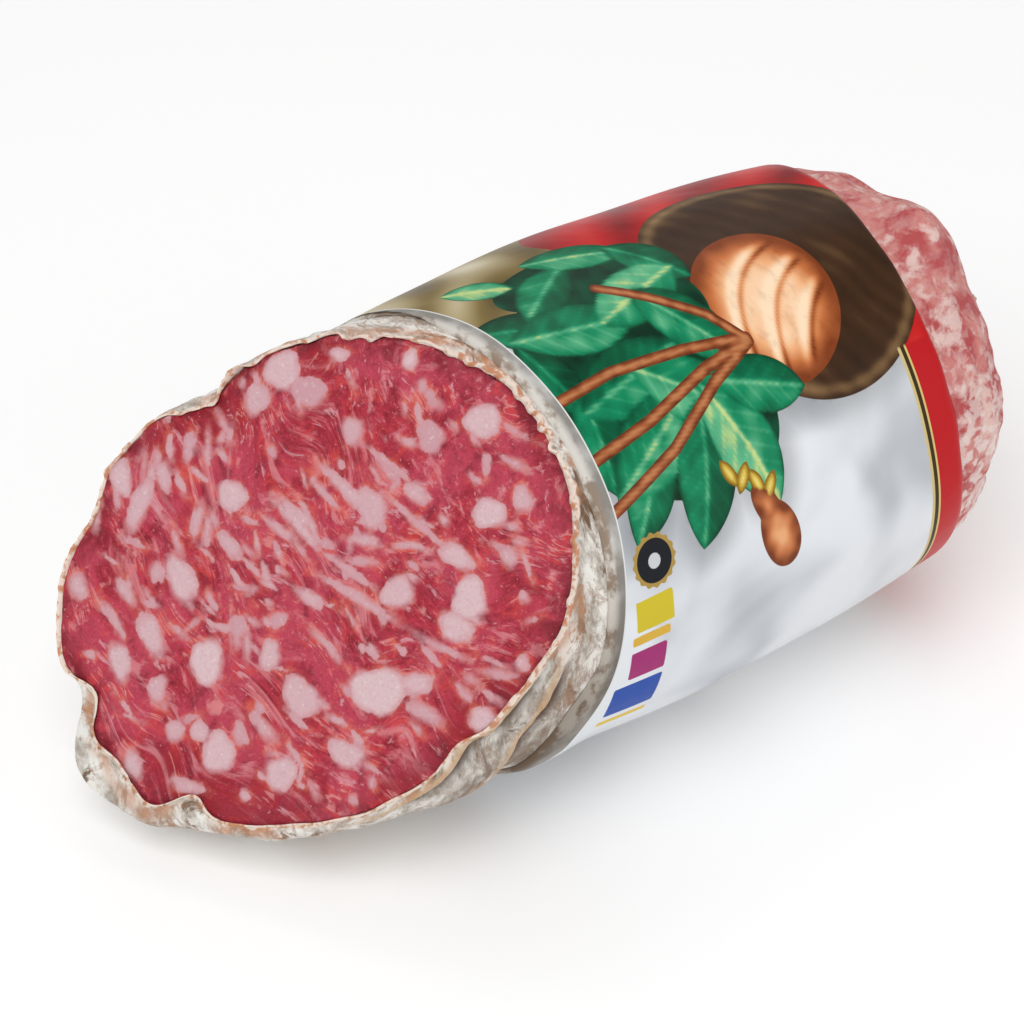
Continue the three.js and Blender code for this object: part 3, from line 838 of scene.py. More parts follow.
def normals_of(points):
    """Unit normals of a grid of points, from the steps to its neighbours, pointing away from the axis."""
    around = np.roll(points, -1, axis=1) - np.roll(points, 1, axis=1)
    along = np.gradient(points, axis=0)
    normal = np.cross(around, along)
    normal /= np.maximum(np.linalg.norm(normal, axis=-1, keepdims=True), 1e-9)
    y, z = axis_at(points[..., 0])
    # Seen from the axis a little nearer the cut, so that the crown's tip points outwards too.
    outward = points - np.stack([points[..., 0] - LOOK_BACK, y, z], axis=-1)
    return normal * np.sign((normal * outward).sum(axis=-1, keepdims=True))


def casing_outside(angle):
    """x and points of the outer skin: torn strip before the sleeve, coarse rows under it, the crown."""
    torn = rim_shape(angle)[0]
    near, far = edge_x(NEAR_EDGE, angle), edge_x(FAR_EDGE, angle)
    start = cut_x(angle, 0, torn)
    strip_end = near + 3
    share = np.linspace(0, 1, STRIP_ROWS)[:, None] ** 1.6
    strip = start + (strip_end - start) * share
    hidden_end = np.maximum(far - 2, CROWN_START + 0.5)
    hidden = strip_end + (hidden_end - strip_end) * np.linspace(0, 1, HIDDEN_ROWS)[1:, None]
    rounding = CROWN_X - CROWN_START
    first = np.arcsin(((hidden_end - CROWN_START) / rounding) ** (CROWN_POWER / 2))
    last = np.arcsin(0.996)
    bend = first + (last - first) * np.linspace(0, 1, CROWN_ROWS)[1:, None]
    crown = CROWN_START + rounding * np.sin(bend) ** (2 / CROWN_POWER)
    x = np.concatenate([strip, hidden, crown])
    return x, curled(x, angle + 0 * x, 0)


def wrinkle_height(x, points, angle):
    """Wrinkles round the body on the bare skin, beads past the sleeve, and pleats towards the tie.

    There are none under the film, and reach is the distance from the axis."""
    y, z = axis_at(points[..., 0])
    reach = np.hypot(points[..., 1] - y, points[..., 2] - z)
    covered = smooth(-3, -0.5, x - edge_x(NEAR_EDGE, angle))
    covered = covered * (1 - smooth(0.5, 3, x - edge_x(FAR_EDGE, angle)))
    round_way = points * np.array([1, 0.3, 0.3])
    wrinkle = 0.07 * waves(round_way, 1.6, 31, 24) + 0.14 * waves(round_way, 4, 32)
    wrinkle = wrinkle + 0.2 * waves(points, 9, 33)
    crease = -0.3 * smooth(0.9, 1.6, waves(round_way, 4.5, 34))
    pleat = round_waves(angle, 9, 35) + 0.8 * round_waves(angle, 5, 36)
    gathered = np.minimum(0.8, 0.07 * reach) * smooth(27, 10, reach)
    beads = 0.13 * waves(points, 2.6, 38, 24) * smooth(66, 40, points[..., 2]) * (x > 0)
    bare = 1 - covered
    height = (wrinkle + crease + beads) * bare * smooth(2, 12, reach) + pleat * gathered * (x > 0)
    return np.where(height < 0, DEEPEST_HOLLOW * np.tanh(height / DEEPEST_HOLLOW), height)


# Past the tie: x, radius, depth of the crumples as a share of the radius.
TAIL_STATIONS = [
    (55.2, 3.6, 0.08), (56.6, NECK_RADIUS, 0.06), (58.4, NECK_RADIUS, 0.06), (59.2, 3.6, 0.1),
    (59.9, 4.2, 0.2), (60.7, 4.6, 0.28), (61.6, 4.8, 0.34), (62.2, 4.5, 0.36), (61.9, 2.2, 0.3),
    (61.2, 0, 0),
]
TAIL_PLEATS = 7


def tail_rows(angle):
    """Neck and tail past the tie: the bunched gut narrows, then flares into a crumpled end."""
    rows = []
    for x, radius, crumple in TAIL_STATIONS:
        pleats = 0.6 + 0.5 * np.cos(TAIL_PLEATS * angle * DEG + 0.6 * x) + 0.4 * round_waves(angle, 14, 37)
        bunch = 1 - crumple * np.clip(pleats, 0, 1.6)
        rows.append(on_section(x + 0 * angle, angle, radius * bunch))
    return np.concatenate(rows)


def casing_grid():
    """One closed skin: the inside from crown to rim, the torn lip, the outside and the tail."""
    angle = np.linspace(0, 360, CASING_COLUMNS, endpoint=False)[None, :]
    torn = rim_shape(angle)[0]
    x_inside = side_rows(angle, GUT, SIDE_ROWS)[::-1]
    inside = curled(x_inside, angle + 0 * x_inside, thinned(x_inside, angle, GUT))
    lip_turn = np.linspace(0, np.pi, LIP_ROWS + 2)[1:-1, None]
    lip_inset = GUT * (1 - RIM_THINNING) * (0.5 + 0.5 * np.cos(lip_turn)) * 0.9
    x_lip = cut_x(angle, lip_inset, torn * (0.35 + 0.65 * np.sin(lip_turn / 2)))
    lip = curled(x_lip, angle + 0 * x_lip, lip_inset)
    x_outside, outside = casing_outside(angle)
    height = wrinkle_height(x_outside, outside, angle)
    depth = np.maximum(0, -above_knife(outside))
    raised = outside + (height * (1 - np.exp(-depth / WRINKLE_START)))[..., None] * normals_of(outside)
    # The skin stays on the floor where the body rests.
    raised[..., 2] = np.maximum(raised[..., 2], LIFT_OFF_FLOOR)
    tail = tail_rows(angle)
    steps = np.linalg.norm(np.diff(raised, axis=0), axis=-1)
    from_cut = np.concatenate([0 * angle, np.cumsum(steps, axis=0)])
    ridge = 0
    for past, _, shown in fold_parts(x_outside, angle + 0 * x_outside):
        ridge = np.maximum(ridge, shown * np.exp(-((past - RIDGE_AT) / 0.8) ** 2))

    def whole(values, in_tail=0.0):
        """A field of the outside as one of the whole skin: 0 inside and on the lip."""
        return np.concatenate([0 * x_inside, 0 * x_lip, values, np.full(tail.shape[:2], in_tail)])

    fields = {"from_cut": whole(from_cut, 90.0), "hollow": whole(folds_depth(x_outside, angle)),
              "ridge": whole(ridge)}
    return np.concatenate([inside, lip, raised, tail]), fields


casing_points, casing_fields = casing_grid()
print("casing rows and columns:", casing_points.shape[:2])

# %% [markdown]
# ### Gut finish
# A cured casing grows a white and grey bloom that wears off in patches, so tan and brown gut shows
# through, in streaks round the sausage. Past the sleeve the pink meat shows through it, with soft
# white marbling and small pale beads of bloom, more of them low down. The torn rim is cream, stained
# orange by the fat.

# %% Gut finish


def gut_finish():
    """Bloom over tan gut near the cut, marbling and beads over pink meat past the sleeve."""
    paint = Paint("bloomed_gut")
    place = paint.place()
    streaky = paint.place((1, 0.5, 0.5))
    parts = paint.node("ShaderNodeSeparateXYZ", {0: place})
    along, height = parts.outputs[0], parts.outputs[2]
    patch = paint.noise(streaky, 4.2, 6, 0.66, 0.8)
    blotch = paint.noise(place, 10, 4, 0.6, 0.8)
    speck = paint.noise(streaky, 1.0, 5, 0.68)
    fine = paint.noise(place, 0.4, 3)
    from_cut = paint.field("from_cut")

    gut = paint.mix(paint.rise(blotch, 0.42, 0.6), linear(112, 84, 62), linear(178, 134, 102))
    grey = paint.mix(paint.rise(speck, 0.35, 0.65), linear(158, 148, 136), linear(202, 194, 184))
    bloom = paint.glaze(grey, (234, 230, 223), paint.noise(streaky, 2.4, 5, 0.62), 0.38, 0.58)
    cover = paint.rise(patch, 0.38, 0.47)
    near = paint.mix(cover, gut, bloom)
    stain = paint.both(paint.rise(speck, 0.55, 0.68), paint.rise(blotch, 0.56, 0.44))
    near = paint.tint(near, (104, 74, 54), stain, 0.6)
    orange = paint.both(paint.rise(from_cut, 4.6, 0.8), paint.rise(blotch, 0.46, 0.6))
    near = paint.tint(near, (192, 126, 84), orange, 0.7)
    crack = paint.math("SUBTRACT", paint.noise(streaky, 3.4, 5, 0.66, 0.9), 0.5)
    crack = paint.rise(paint.math("ABSOLUTE", crack), 0.055, 0.0)
    crack = paint.both(crack, paint.rise(blotch, 0.42, 0.54))
    near = paint.tint(near, (150, 114, 88), crack, 0.55)
    # Painted shade: the gut is darkened low down near the sleeve's near edge, where little light reaches.
    under = paint.both(paint.rise(height, 40, 16), paint.rise(patch, 0.66, 0.44))
    under = paint.both(under, paint.rise(along, -66, -52))
    near = paint.tint(near, (112, 92, 74), under, 0.8)
    # Darker in the folds' hollows: painted shade of the recesses, together with dirt that gathers there.
    near = paint.glaze(near, (84, 64, 50), paint.field("hollow"), 0.5, 2.2)
    near = paint.tint(near, (200, 160, 116), paint.field("ridge"), 0.75)
    rim = paint.rise(paint.noise(place, 1.4, 3), 0.46, 0.62)
    rim = paint.mix(rim, linear(232, 214, 200), linear(198, 138, 104))
    near = paint.mix(paint.rise(from_cut, 0.75, 0.35), near, rim)

    past_sleeve = paint.rise(along, 30, 33)
    lower = paint.rise(height, 62, 34)
    cloud = paint.math("ADD", paint.noise(place, 4.4, 4, 0.58, 0.3), paint.scaled(lower, 0.05))
    pink = paint.rise(paint.noise(place, 6, 4, 0.6, 0.3), 0.4, 0.6)
    pink = paint.mix(pink, linear(180, 76, 78), linear(204, 130, 124))
    pink = paint.glaze(pink, (226, 196, 188), cloud, 0.5, 0.64, 0.85)
    beads = paint.noise(paint.place((0.7, 1, 0.8)), 1.6, 2, 0.5, 0.5)
    thick = paint.math("ADD", 0.12, paint.scaled(lower, 0.68))
    pink = paint.mix(paint.both(paint.rise(beads, 0.46, 0.6), thick), pink, linear(232, 216, 210))
    pink = paint.glaze(pink, (206, 176, 146), along, 53, 56)
    colour = paint.mix(past_sleeve, near, pink)

    rough = paint.math("ADD", 0.5, paint.scaled(cover, 0.28))
    low = paint.bump(patch, 0.6, 0.6)
    middle = paint.bump(speck, 0.4, 0.6, low)
    high = paint.bump(fine, 0.12, 0.5, middle)
    high = paint.bump(paint.both(beads, past_sleeve), 1.2, 0.5, high)
    return paint.finish(
        Base_Color=colour, Roughness=rough, Normal=high, Specular_IOR_Level=0.35,
        Subsurface_Weight=0.05, Subsurface_Scale=0.001)


casing_mesh = mesh_of_grid("gut_casing", casing_points, casing_fields)
add_piece("gut_casing", casing_mesh, gut_finish(), "casing")

# %% [markdown]
# ## The printed sleeve
# A film sleeve is shrunk tightly round the sausage, so it takes on its swells, and its cut edges are
# clean. It is a closed ring: an outer and an inner skin joined at both edges. The lap where the film
# is glued lies low at the back. The print is a still life that belongs to no maker: sage leaves, a
# round loaf on a board, a red cloth, plain patches and a red band.

# %% Sleeve surface
SLEEVE_COLUMNS = 480
SLEEVE_ROWS = 170
INNER_ROWS = 28
LAP_ANGLES = (203, 216)
LAP_HEIGHT, LAP_RISE, LAP_FALL = 0.22, 0.6, 6
# Both edges cling to the casing: over this length the outside sinks by so much, and at the last rows
# the inside does by that much.
CLING_LENGTH, CLING_OUTSIDE, CLING_INSIDE, CLING_POWER = 0.5, 0.66, 0.25, 8
EDGE_WAVER, WAVER_LENGTH = 0.12, 12


def sleeve_skin(x, angle, depth, loose=1.0):
    """Film surface a depth below its outside: the barrel's radius, a slack swell and the glued lap."""
    flat = np.stack([0.8 * x, 36 * np.cos(angle * DEG), 36 * np.sin(angle * DEG)], axis=-1)
    swell = 0.16 * (1 + np.clip(waves(flat, 21, 41), -1, 2))
    lap = LAP_HEIGHT * smooth(LAP_ANGLES[0], LAP_ANGLES[0] + LAP_RISE, angle)
    lap = lap * (1 - smooth(LAP_ANGLES[1], LAP_ANGLES[1] + LAP_FALL, angle))
    outside = gripped_radius(x, angle) + CLEARANCE + FILM
    point = on_section(x, angle, outside - depth + (swell + lap) * loose)
    point[..., 2] = np.maximum(point[..., 2], depth)
    return point


def sleeve_grid():
    """The outer skin from the near to the far edge, then the inner skin back."""
    angle = np.linspace(0, 360, SLEEVE_COLUMNS, endpoint=False)[None, :]
    near = edge_x(NEAR_EDGE, angle) + EDGE_WAVER * round_waves(angle, WAVER_LENGTH, 42)
    far = edge_x(FAR_EDGE, angle) + EDGE_WAVER * round_waves(angle, WAVER_LENGTH, 43)
    share = np.linspace(0, 1, SLEEVE_ROWS)[:, None]
    x_outer = near + (far - near) * share
    x_inner = near + (far - near) * np.linspace(1, 0, INNER_ROWS)[:, None]
    cling = np.exp(-np.minimum(x_outer - near, far - x_outer) / CLING_LENGTH)
    outer = sleeve_skin(x_outer, angle + 0 * x_outer, CLING_OUTSIDE * cling, 1 - cling)
    end_share = np.abs(np.linspace(-1, 1, INNER_ROWS))[:, None] ** CLING_POWER
    inner = sleeve_skin(x_inner, angle + 0 * x_inner, FILM + CLING_INSIDE * end_share, 0)
    return np.concatenate([outer, inner]), np.concatenate([x_outer, x_inner]), angle


sleeve_points, sleeve_x, sleeve_angle = sleeve_grid()
print("sleeve rows and columns:", sleeve_points.shape[:2])

# %% [markdown]
# ### Artwork in layers
# A printer lays colours down in layers. Each layer here has a shape, kept as a signed distance in
# millimetres, and its own shading, kept as a colour, both at every point of the sleeve. The distance
# is thresholded later in the material, so the edges stay crisp however close one looks.

# %% Drawing helpers
ARC = 36.1 * DEG
art_angle = (sleeve_angle + 0 * sleeve_x + 150) % 360 - 150
art_x, art_y = sleeve_x, art_angle * ARC
art = {}


def turned(x, angle, turn):
    """Coordinates from a centre at x and angle on the sleeve, along and across a direction."""
    away, over = art_x - x, art_y - angle * ARC
    cosine, sine = np.cos(turn * DEG), np.sin(turn * DEG)
    return cosine * away + sine * over, cosine * over - sine * away


def oval(x, angle, length, width, turn=0.0):
    """Distance into an ellipse, near enough: (1 - reach) times the smaller half."""
    a, b = turned(x, angle, turn)
    return (1 - np.hypot(a / (length / 2), b / (width / 2))) * min(length, width) / 2


def box(x, angle, length, width, turn=0.0):
    """Distance into a rectangle: the smaller of the distances into its two bands."""
    a, b = turned(x, angle, turn)
    return np.minimum(length / 2 - np.abs(a), width / 2 - np.abs(b))


def almond(x, angle, length, width, turn):
    """Distance into the overlap of two discs whose edges cross at the tips."""
    a, b = turned(x, angle, turn)
    radius = (length ** 2 + width ** 2) / (4 * width)
    return radius - np.hypot(a, np.abs(b) + radius - width / 2)


def stroke(points, width):
    """Distance into a brush stroke through points: half its width less the distance to its segments."""
    nearest = np.full(art_x.shape, 99.0)
    for (x0, t0), (x1, t1) in zip(points[:-1], points[1:]):
        run = np.array([x1 - x0, (t1 - t0) * ARC])
        away, over = art_x - x0, art_y - t0 * ARC
        share = np.clip((away * run[0] + over * run[1]) / (run @ run), 0, 1)
        nearest = np.minimum(nearest, np.hypot(away - share * run[0], over - share * run[1]))
    return width / 2 - nearest


def ink(*stops):
    """Colours between (share, red, green, blue) stops as a function of a share, mixed in linear light."""
    at = [stop[0] for stop in stops]
    colours = np.array([linear(*stop[1:])[:3] for stop in stops])
    return lambda share: np.stack([np.interp(share, at, colours[:, c]) for c in range(3)], axis=-1)


def brush(size, seed):
    """Soft unevenness of paint, a few tenths either way."""
    return 0.16 * waves(np.stack([art_x, art_y], axis=-1), size, seed)


print("artwork spans %.0f mm round the body" % np.ptp(art_y))

# %% Artwork
SAGE_LEAVES = [
    # x, angle, length, width, turn, lightness
    (-31, 8, 17, 8, 20, 0.35), (-22, 0, 16, 8, 150, 0.45), (-33, 24, 15, 8, 80, 0.3),
    (-12, -8, 17, 8, 25, 0.6), (-3, 3, 15, 8, 60, 0.4), (-32, 42, 16, 9, 100, 0.4),
    (-24, 14, 22, 10, 12, 0.55), (-10, 12, 20, 10, 165, 0.7), (-27, 56, 18, 9, 125, 0.5),
    (-21, 31, 24, 11, -12, 0.45), (-6, 24, 20, 10, 60, 0.5), (-23, 47, 24, 11, -28, 0.6),
    (-12, 40, 22, 11, 40, 0.65), (-16, 58, 22, 11, 110, 0.4), (-7, 55, 22, 11, 70, 0.75),
    (0, 44, 17, 9, 20, 0.5), (-29, -12, 11, 6, 40, 0.85),
]
TWIGS = [
    [(-38, 30), (-24, 28), (-10, 30), (2, 33)], [(-37, 46), (-22, 42), (-8, 36), (2, 34)],
    [(-35, 58), (-20, 50), (-8, 40), (2, 34)], [(2, 34), (-2, 24), (-9, 14), (-15, 6)],
]
WHEAT_GRAINS = [(-12 + 2.4 * k, 60 + 2.2 * k, 5.2, 2.3, 125 if k % 2 else 65) for k in range(4)]


def leaf_layer(leaves):
    """Leaves laid over each other: light half, dark half, pale midrib and slanted side veins."""
    shape = np.full(art_x.shape, -9.0)
    shade = np.zeros(art_x.shape)
    for x, angle, length, width, turn, lightness in leaves:
        inside = almond(x, angle, length, width, turn)
        along, across = turned(x, angle, turn)
        half = lightness + 0.13 * np.tanh(across) - 0.25 * np.exp(-np.maximum(inside, 0) / 0.7)
        veins = 0.09 * np.maximum(0, np.cos((along - np.abs(across)) * 2.1)) ** 4
        rib = 0.3 * np.exp(-(across / 0.4) ** 2)
        over = smooth(-0.3, 0.3, inside)
        shade = shade + (half + veins + rib - shade) * over
        shape = np.maximum(shape, inside)
    return shape, shade


def table_layer():
    """Olive and tan table linen behind the leaves, over the top and back of the cut's side."""
    shape = np.minimum(4 - art_x, 2 - art_y)
    shape = np.minimum(shape, art_y + 92 * ARC + 2 * np.sin(0.3 * art_x) - 6 * smooth(-6, 0, art_x))
    shade = 0.5 + brush(16, 52) + 0.28 * np.sin(0.3 * (art_x + 0.8 * art_y) + brush(24, 53) * 5)
    linen = ink((0, 62, 50, 24), (0.4, 128, 108, 60), (0.7, 176, 160, 120), (1, 224, 214, 190))
    return shape, linen(shade)


def cloth_layer():
    """Red cloth that hangs in folds over the top and the back."""
    lower = 2 - 0.35 * (art_x - 20) + 1.8 * np.sin(0.32 * art_x) + 40 * smooth(22, 32, art_x)
    shape = np.minimum(lower - art_y, art_y + 88 * ARC + 3 * np.sin(0.25 * art_x))
    shape = np.minimum(shape, art_x + 15 + 0.25 * art_y + 1.5 * np.sin(0.3 * art_y))
    fold = np.sin(0.4 * (art_x + 0.6 * art_y) + 4 * brush(30, 54))
    shade = 0.6 + 0.35 * fold + 0.4 * brush(9, 55)
    cloth = ink((0, 96, 8, 12), (0.4, 158, 14, 18), (0.8, 190, 20, 24), (1, 204, 44, 40))
    return shape, cloth(shade)


def board_layer():
    """A round wooden board, seen past the loaf as a brown arc with a lit rim."""
    shape = oval(17, 19, 46, 45, 60)
    across = turned(17, 19, 60)[1]
    shade = 0.3 + 0.3 * np.exp(-((shape - 1.4) / 0.9) ** 2)
    shade = shade + 0.04 * np.sin(1.6 * across + 5 * brush(14, 56))
    shade += 0.2 * smooth(10, -45, art_angle) + 0.4 * brush(12, 57)
    wood = ink((0, 26, 16, 10), (0.35, 66, 42, 24), (0.7, 128, 98, 64), (1, 184, 158, 118))
    return shape, wood(shade)


def loaf_layer():
    """A round loaf with a brown crust, a pale floury top and three slashes."""
    shape = oval(9.5, 27, 25, 28, 40)
    along, across = turned(9.5, 27, 40)
    shade = smooth(0, 8, shape) * 0.85 + 0.3 * brush(6, 58)
    for offset in (-6, 0, 6):
        bend = along - offset - 0.03 * across ** 2
        on_top = smooth(0, 3, shape - 1)
        slash = np.exp(-(bend / 0.9) ** 2) * on_top
        shade = shade + 0.45 * slash - 0.5 * np.exp(-((bend - 1.5) / 0.5) ** 2) * on_top
    crust = ink((0, 128, 60, 26), (0.3, 196, 112, 62), (0.65, 238, 176, 126), (1, 250, 220, 186))
    return shape, crust(shade)


def sage_layer():
    """The spray of leaves over a dark green shade that fills the gaps between them."""
    shape, shade = leaf_layer(SAGE_LEAVES)
    gaps = [(-18, -2, 24, 12, 0), (-18, 18, 36, 24, 0), (-20, 44, 34, 22, 20), (-8, 48, 18, 20, 0)]
    fill = np.maximum.reduce([oval(*gap) for gap in gaps])
    shade = 0.06 + (shade - 0.06) * smooth(-0.3, 0.3, shape) + 0.5 * brush(5, 59)
    green = ink(
        (0, 4, 46, 28), (0.35, 6, 96, 62), (0.6, 18, 136, 92), (0.85, 96, 180, 134), (1, 190, 212, 136))
    return np.maximum(shape, fill), green(shade)


def twig_layer():
    """Brown twigs that join the leaves, round in shade."""
    shape = np.maximum.reduce([stroke(points, 1.9) for points in TWIGS])
    bark = ink((0, 96, 44, 22), (0.6, 150, 78, 42), (1, 190, 124, 80))
    return shape, bark(smooth(0, 0.9, shape) + brush(3, 60))


def grain_layer():
    """Golden wheat grains and a small brown pear, below the leaves."""
    grains = np.maximum.reduce([almond(*grain) for grain in WHEAT_GRAINS])
    pear = np.maximum(oval(-4, 79, 7.5, 12, -20), oval(-6, 71, 4.5, 9, -30))
    gold = ink((0, 124, 88, 18), (0.5, 196, 160, 44), (1, 236, 214, 120))
    skin = ink((0, 118, 56, 28), (0.5, 196, 116, 68), (1, 232, 168, 118))
    grain_colour = gold(smooth(0, 1.2, grains))
    pear_colour = skin(smooth(0, 3.4, pear) + 0.6 * brush(3, 61))
    return np.maximum(grains, pear), np.where((grains > pear)[..., None], grain_colour, pear_colour)


def plain_layer(shape, *shade):
    """A shape in one colour."""
    return shape, np.broadcast_to(np.array(linear(*shade)[:3]), (*art_x.shape, 3))


def patch_layer():
    """Plain yellow, gold, magenta and blue patches in a column."""
    rows = [
        (box(-30, 84.5, 7.2, 5.2, -4), (206, 186, 46)), (box(-30.5, 91, 7.2, 1.6, -4), (214, 172, 64)),
        (box(-30.5, 98.5, 6.8, 5.4, -4), (160, 44, 110)), (box(-31, 110.5, 9, 7.2, -4), (24, 72, 164)),
        (box(-31, 119.5, 9, 1.4, -4), (224, 190, 60)),
    ]
    shape = np.full(art_x.shape, -9.0)
    colour = np.zeros((*art_x.shape, 3))
    for inside, shade in rows:
        colour = np.where((inside > -0.3)[..., None], linear(*shade)[:3], colour)
        shape = np.maximum(shape, inside)
    return shape, colour


def seal_shape(radius, petals=0.0):
    """Distance into a disc at the seal's place, with a scalloped edge if it has petals."""
    a, b = turned(-29.5, 72, 0)
    return radius + petals * np.cos(16 * np.arctan2(b, a)) - np.hypot(a, b)


def panel_layer():
    """Thin gold frame and rules underneath, where such a sleeve has its table, left empty."""
    frame_line = 0.35 - np.abs(box(2, 165, 58, 30))
    rules = [box(2, 152 + 6.5 * k, 50, 0.4) for k in range(5)]
    return plain_layer(np.maximum.reduce([frame_line, *rules]), 150, 118, 58)


ART_LAYERS = {
    "table": table_layer(), "cloth": cloth_layer(), "board": board_layer(), "loaf": loaf_layer(),
    "sage": sage_layer(), "twig": twig_layer(), "grain": grain_layer(), "patch": patch_layer(),
    "panel": panel_layer(), "seal_ring": plain_layer(seal_shape(4.1, 0.22), 170, 140, 72),
    "seal": plain_layer(seal_shape(3.4), 26, 28, 34),
    "seal_dot": plain_layer(seal_shape(1.2), 200, 202, 206),
}
for name, (shape, colour) in ART_LAYERS.items():
    art[name + "_shape"] = np.clip(shape, -3, 3)
    art[name + "_ink"] = colour
art["from_near"] = art_x - edge_x(NEAR_EDGE, sleeve_angle)
art["from_far"] = edge_x(FAR_EDGE, sleeve_angle) - art_x
art["shadow"] = np.clip(np.maximum(ART_LAYERS["sage"][0], ART_LAYERS["board"][0]), -6, 0)
art["around"] = art_angle
print("artwork layers:", ", ".join(ART_LAYERS))

# %% [markdown]
# ### Film finish
# The film is satin: pigment under a thin clear layer, so highlights are broad but the colours deep.
# Its ground is a pearly silver-white that clouds to grey, each layer's edge is a sharp threshold of
# its distance. The near edge is left unprinted: a little of the gut shows through at the very edge,
# then comes a smooth grey band that ends in a fine light line.

# %% Film finish
MARGIN = 3.0
BAND = 6.2
EDGE_BLUR = 0.07


def film_finish():
    """Silver ground, layers of artwork, red band with black and gold lines, and the bare margin."""
    paint = Paint("printed_film")
    place = paint.place()
    cloud = paint.noise(place, 26, 2, 0.5, 0.4)
    flake = paint.noise(place, 0.25, 2)
    ground = paint.mix(paint.rise(cloud, 0.34, 0.64), linear(178, 182, 188), linear(226, 229, 233))
    soft = paint.rise(paint.field("shadow"), -5.5, 0.0)
    colour = paint.tint(ground, (120, 122, 124), soft, 0.5)
    streak = paint.noise(paint.place((1, 0.4, 1)), 1.6, 4, 0.6)
    for name in ART_LAYERS:
        inside = paint.rise(paint.field(name + "_shape"), -EDGE_BLUR, EDGE_BLUR)
        colour = paint.mix(inside, colour, paint.vector_field(name + "_ink"))
    inked = paint.rise(paint.field("shadow"), -0.6, -0.1)
    worn = paint.both(paint.rise(streak, 0.45, 0.75), paint.scaled(inked, 0.22))
    printed = paint.mix(worn, colour, linear(128, 120, 110), "MULTIPLY")

    far = paint.field("from_far")
    around = paint.field("around")
    band_side = paint.both(paint.rise(around, 49, 50), paint.rise(around, 190, 189))
    stripes = paint.mix(paint.rise(far, BAND + 0.9, BAND + 0.8), linear(206, 186, 128), linear(58, 44, 18))
    stripes = paint.glaze(stripes, (214, 190, 120), far, BAND + 0.1, BAND)
    stripes = paint.glaze(stripes, (186, 24, 30), far, BAND - 0.3, BAND - 0.4)
    in_band = paint.both(band_side, paint.rise(far, BAND + 1.5, BAND + 1.4))
    printed = paint.mix(in_band, printed, stripes)

    near = paint.field("from_near")
    skin = paint.rise(paint.noise(paint.place((1, 0.6, 0.6)), 3.2, 5, 0.62), 0.42, 0.56)
    skin = paint.mix(skin, linear(146, 128, 112), linear(210, 205, 197))
    sheen = paint.rise(paint.noise(place, 9, 3), 0.4, 0.65)
    sheen = paint.mix(sheen, linear(138, 134, 128), linear(192, 190, 187))
    bare = paint.mix(paint.rise(near, 0.4, 2.2), skin, sheen)
    # Painted shade: the bare margin is multiplied darker from the side of the body down towards its
    # underside.
    low = paint.scaled(paint.rise(around, 62, 112), 0.75)
    bare = paint.mix(low, bare, linear(164, 152, 138), "MULTIPLY")
    bare = paint.glaze(bare, (222, 222, 220), near, MARGIN - 0.3, MARGIN - 0.2)
    colour = paint.mix(paint.rise(near, MARGIN - 0.05, MARGIN + 0.05), bare, printed)

    height = paint.bump(paint.noise(place, 7, 2), 0.35, 0.5)
    normal = paint.bump(flake, 0.02, 0.3, height)
    return paint.finish(Base_Color=colour, Roughness=0.36, Normal=normal, IOR=1.2, Specular_IOR_Level=0.5)


sleeve_mesh = mesh_of_grid("film_sleeve", sleeve_points, art, poles=False)
add_piece("film_sleeve", sleeve_mesh, film_finish(), "label_sleeve")

# %% [markdown]
# ## The tie
# Butcher's twine is three plies of cotton twisted together. It goes twice round the gathered neck and
# is knotted, and its two cut ends fray. A plain tube would do from afar. Here each ply is its own
# tube that winds round the twine's path, so that the lay of the rope is real.

# %% Twine surface
PLIES = 3
PLY_RADIUS = 0.44
PLY_OFFSET = 0.47
LAY_LENGTH = 4.2
TWINE_SIDES = 9
WIND_RADIUS = 4.35
TIE_X = 57.5
KNOT_ANGLE = 300
# Across the neck and away from it, at the knot.
SIDEWAYS = np.array([0, np.cos(KNOT_ANGLE * DEG), np.sin(KNOT_ANGLE * DEG)])
UPWARD = np.array([0, -np.sin(KNOT_ANGLE * DEG), np.cos(KNOT_ANGLE * DEG)])


def neck_point(x, radius, angle):
    """Point about the neck's axis, from its x, distance and angle, as arrays."""
    y, z = axis_at(np.full(np.shape(x), TIE_X))
    return np.stack([x, y - radius * np.sin(angle * DEG), z + radius * np.cos(angle * DEG)], axis=-1)


def smooth_path(points, count):
    """Points evenly spaced along straight runs, then averaged a few times to round the corners."""
    steps = np.concatenate([[0], np.cumsum(np.linalg.norm(np.diff(points, axis=0), axis=1))])
    even = np.linspace(0, steps[-1], count)
    path = np.stack([np.interp(even, steps, points[:, c]) for c in range(3)], axis=-1)
    for _ in range(4):
        path[1:-1] = (path[:-2] + 2 * path[1:-1] + path[2:]) / 4
    return path


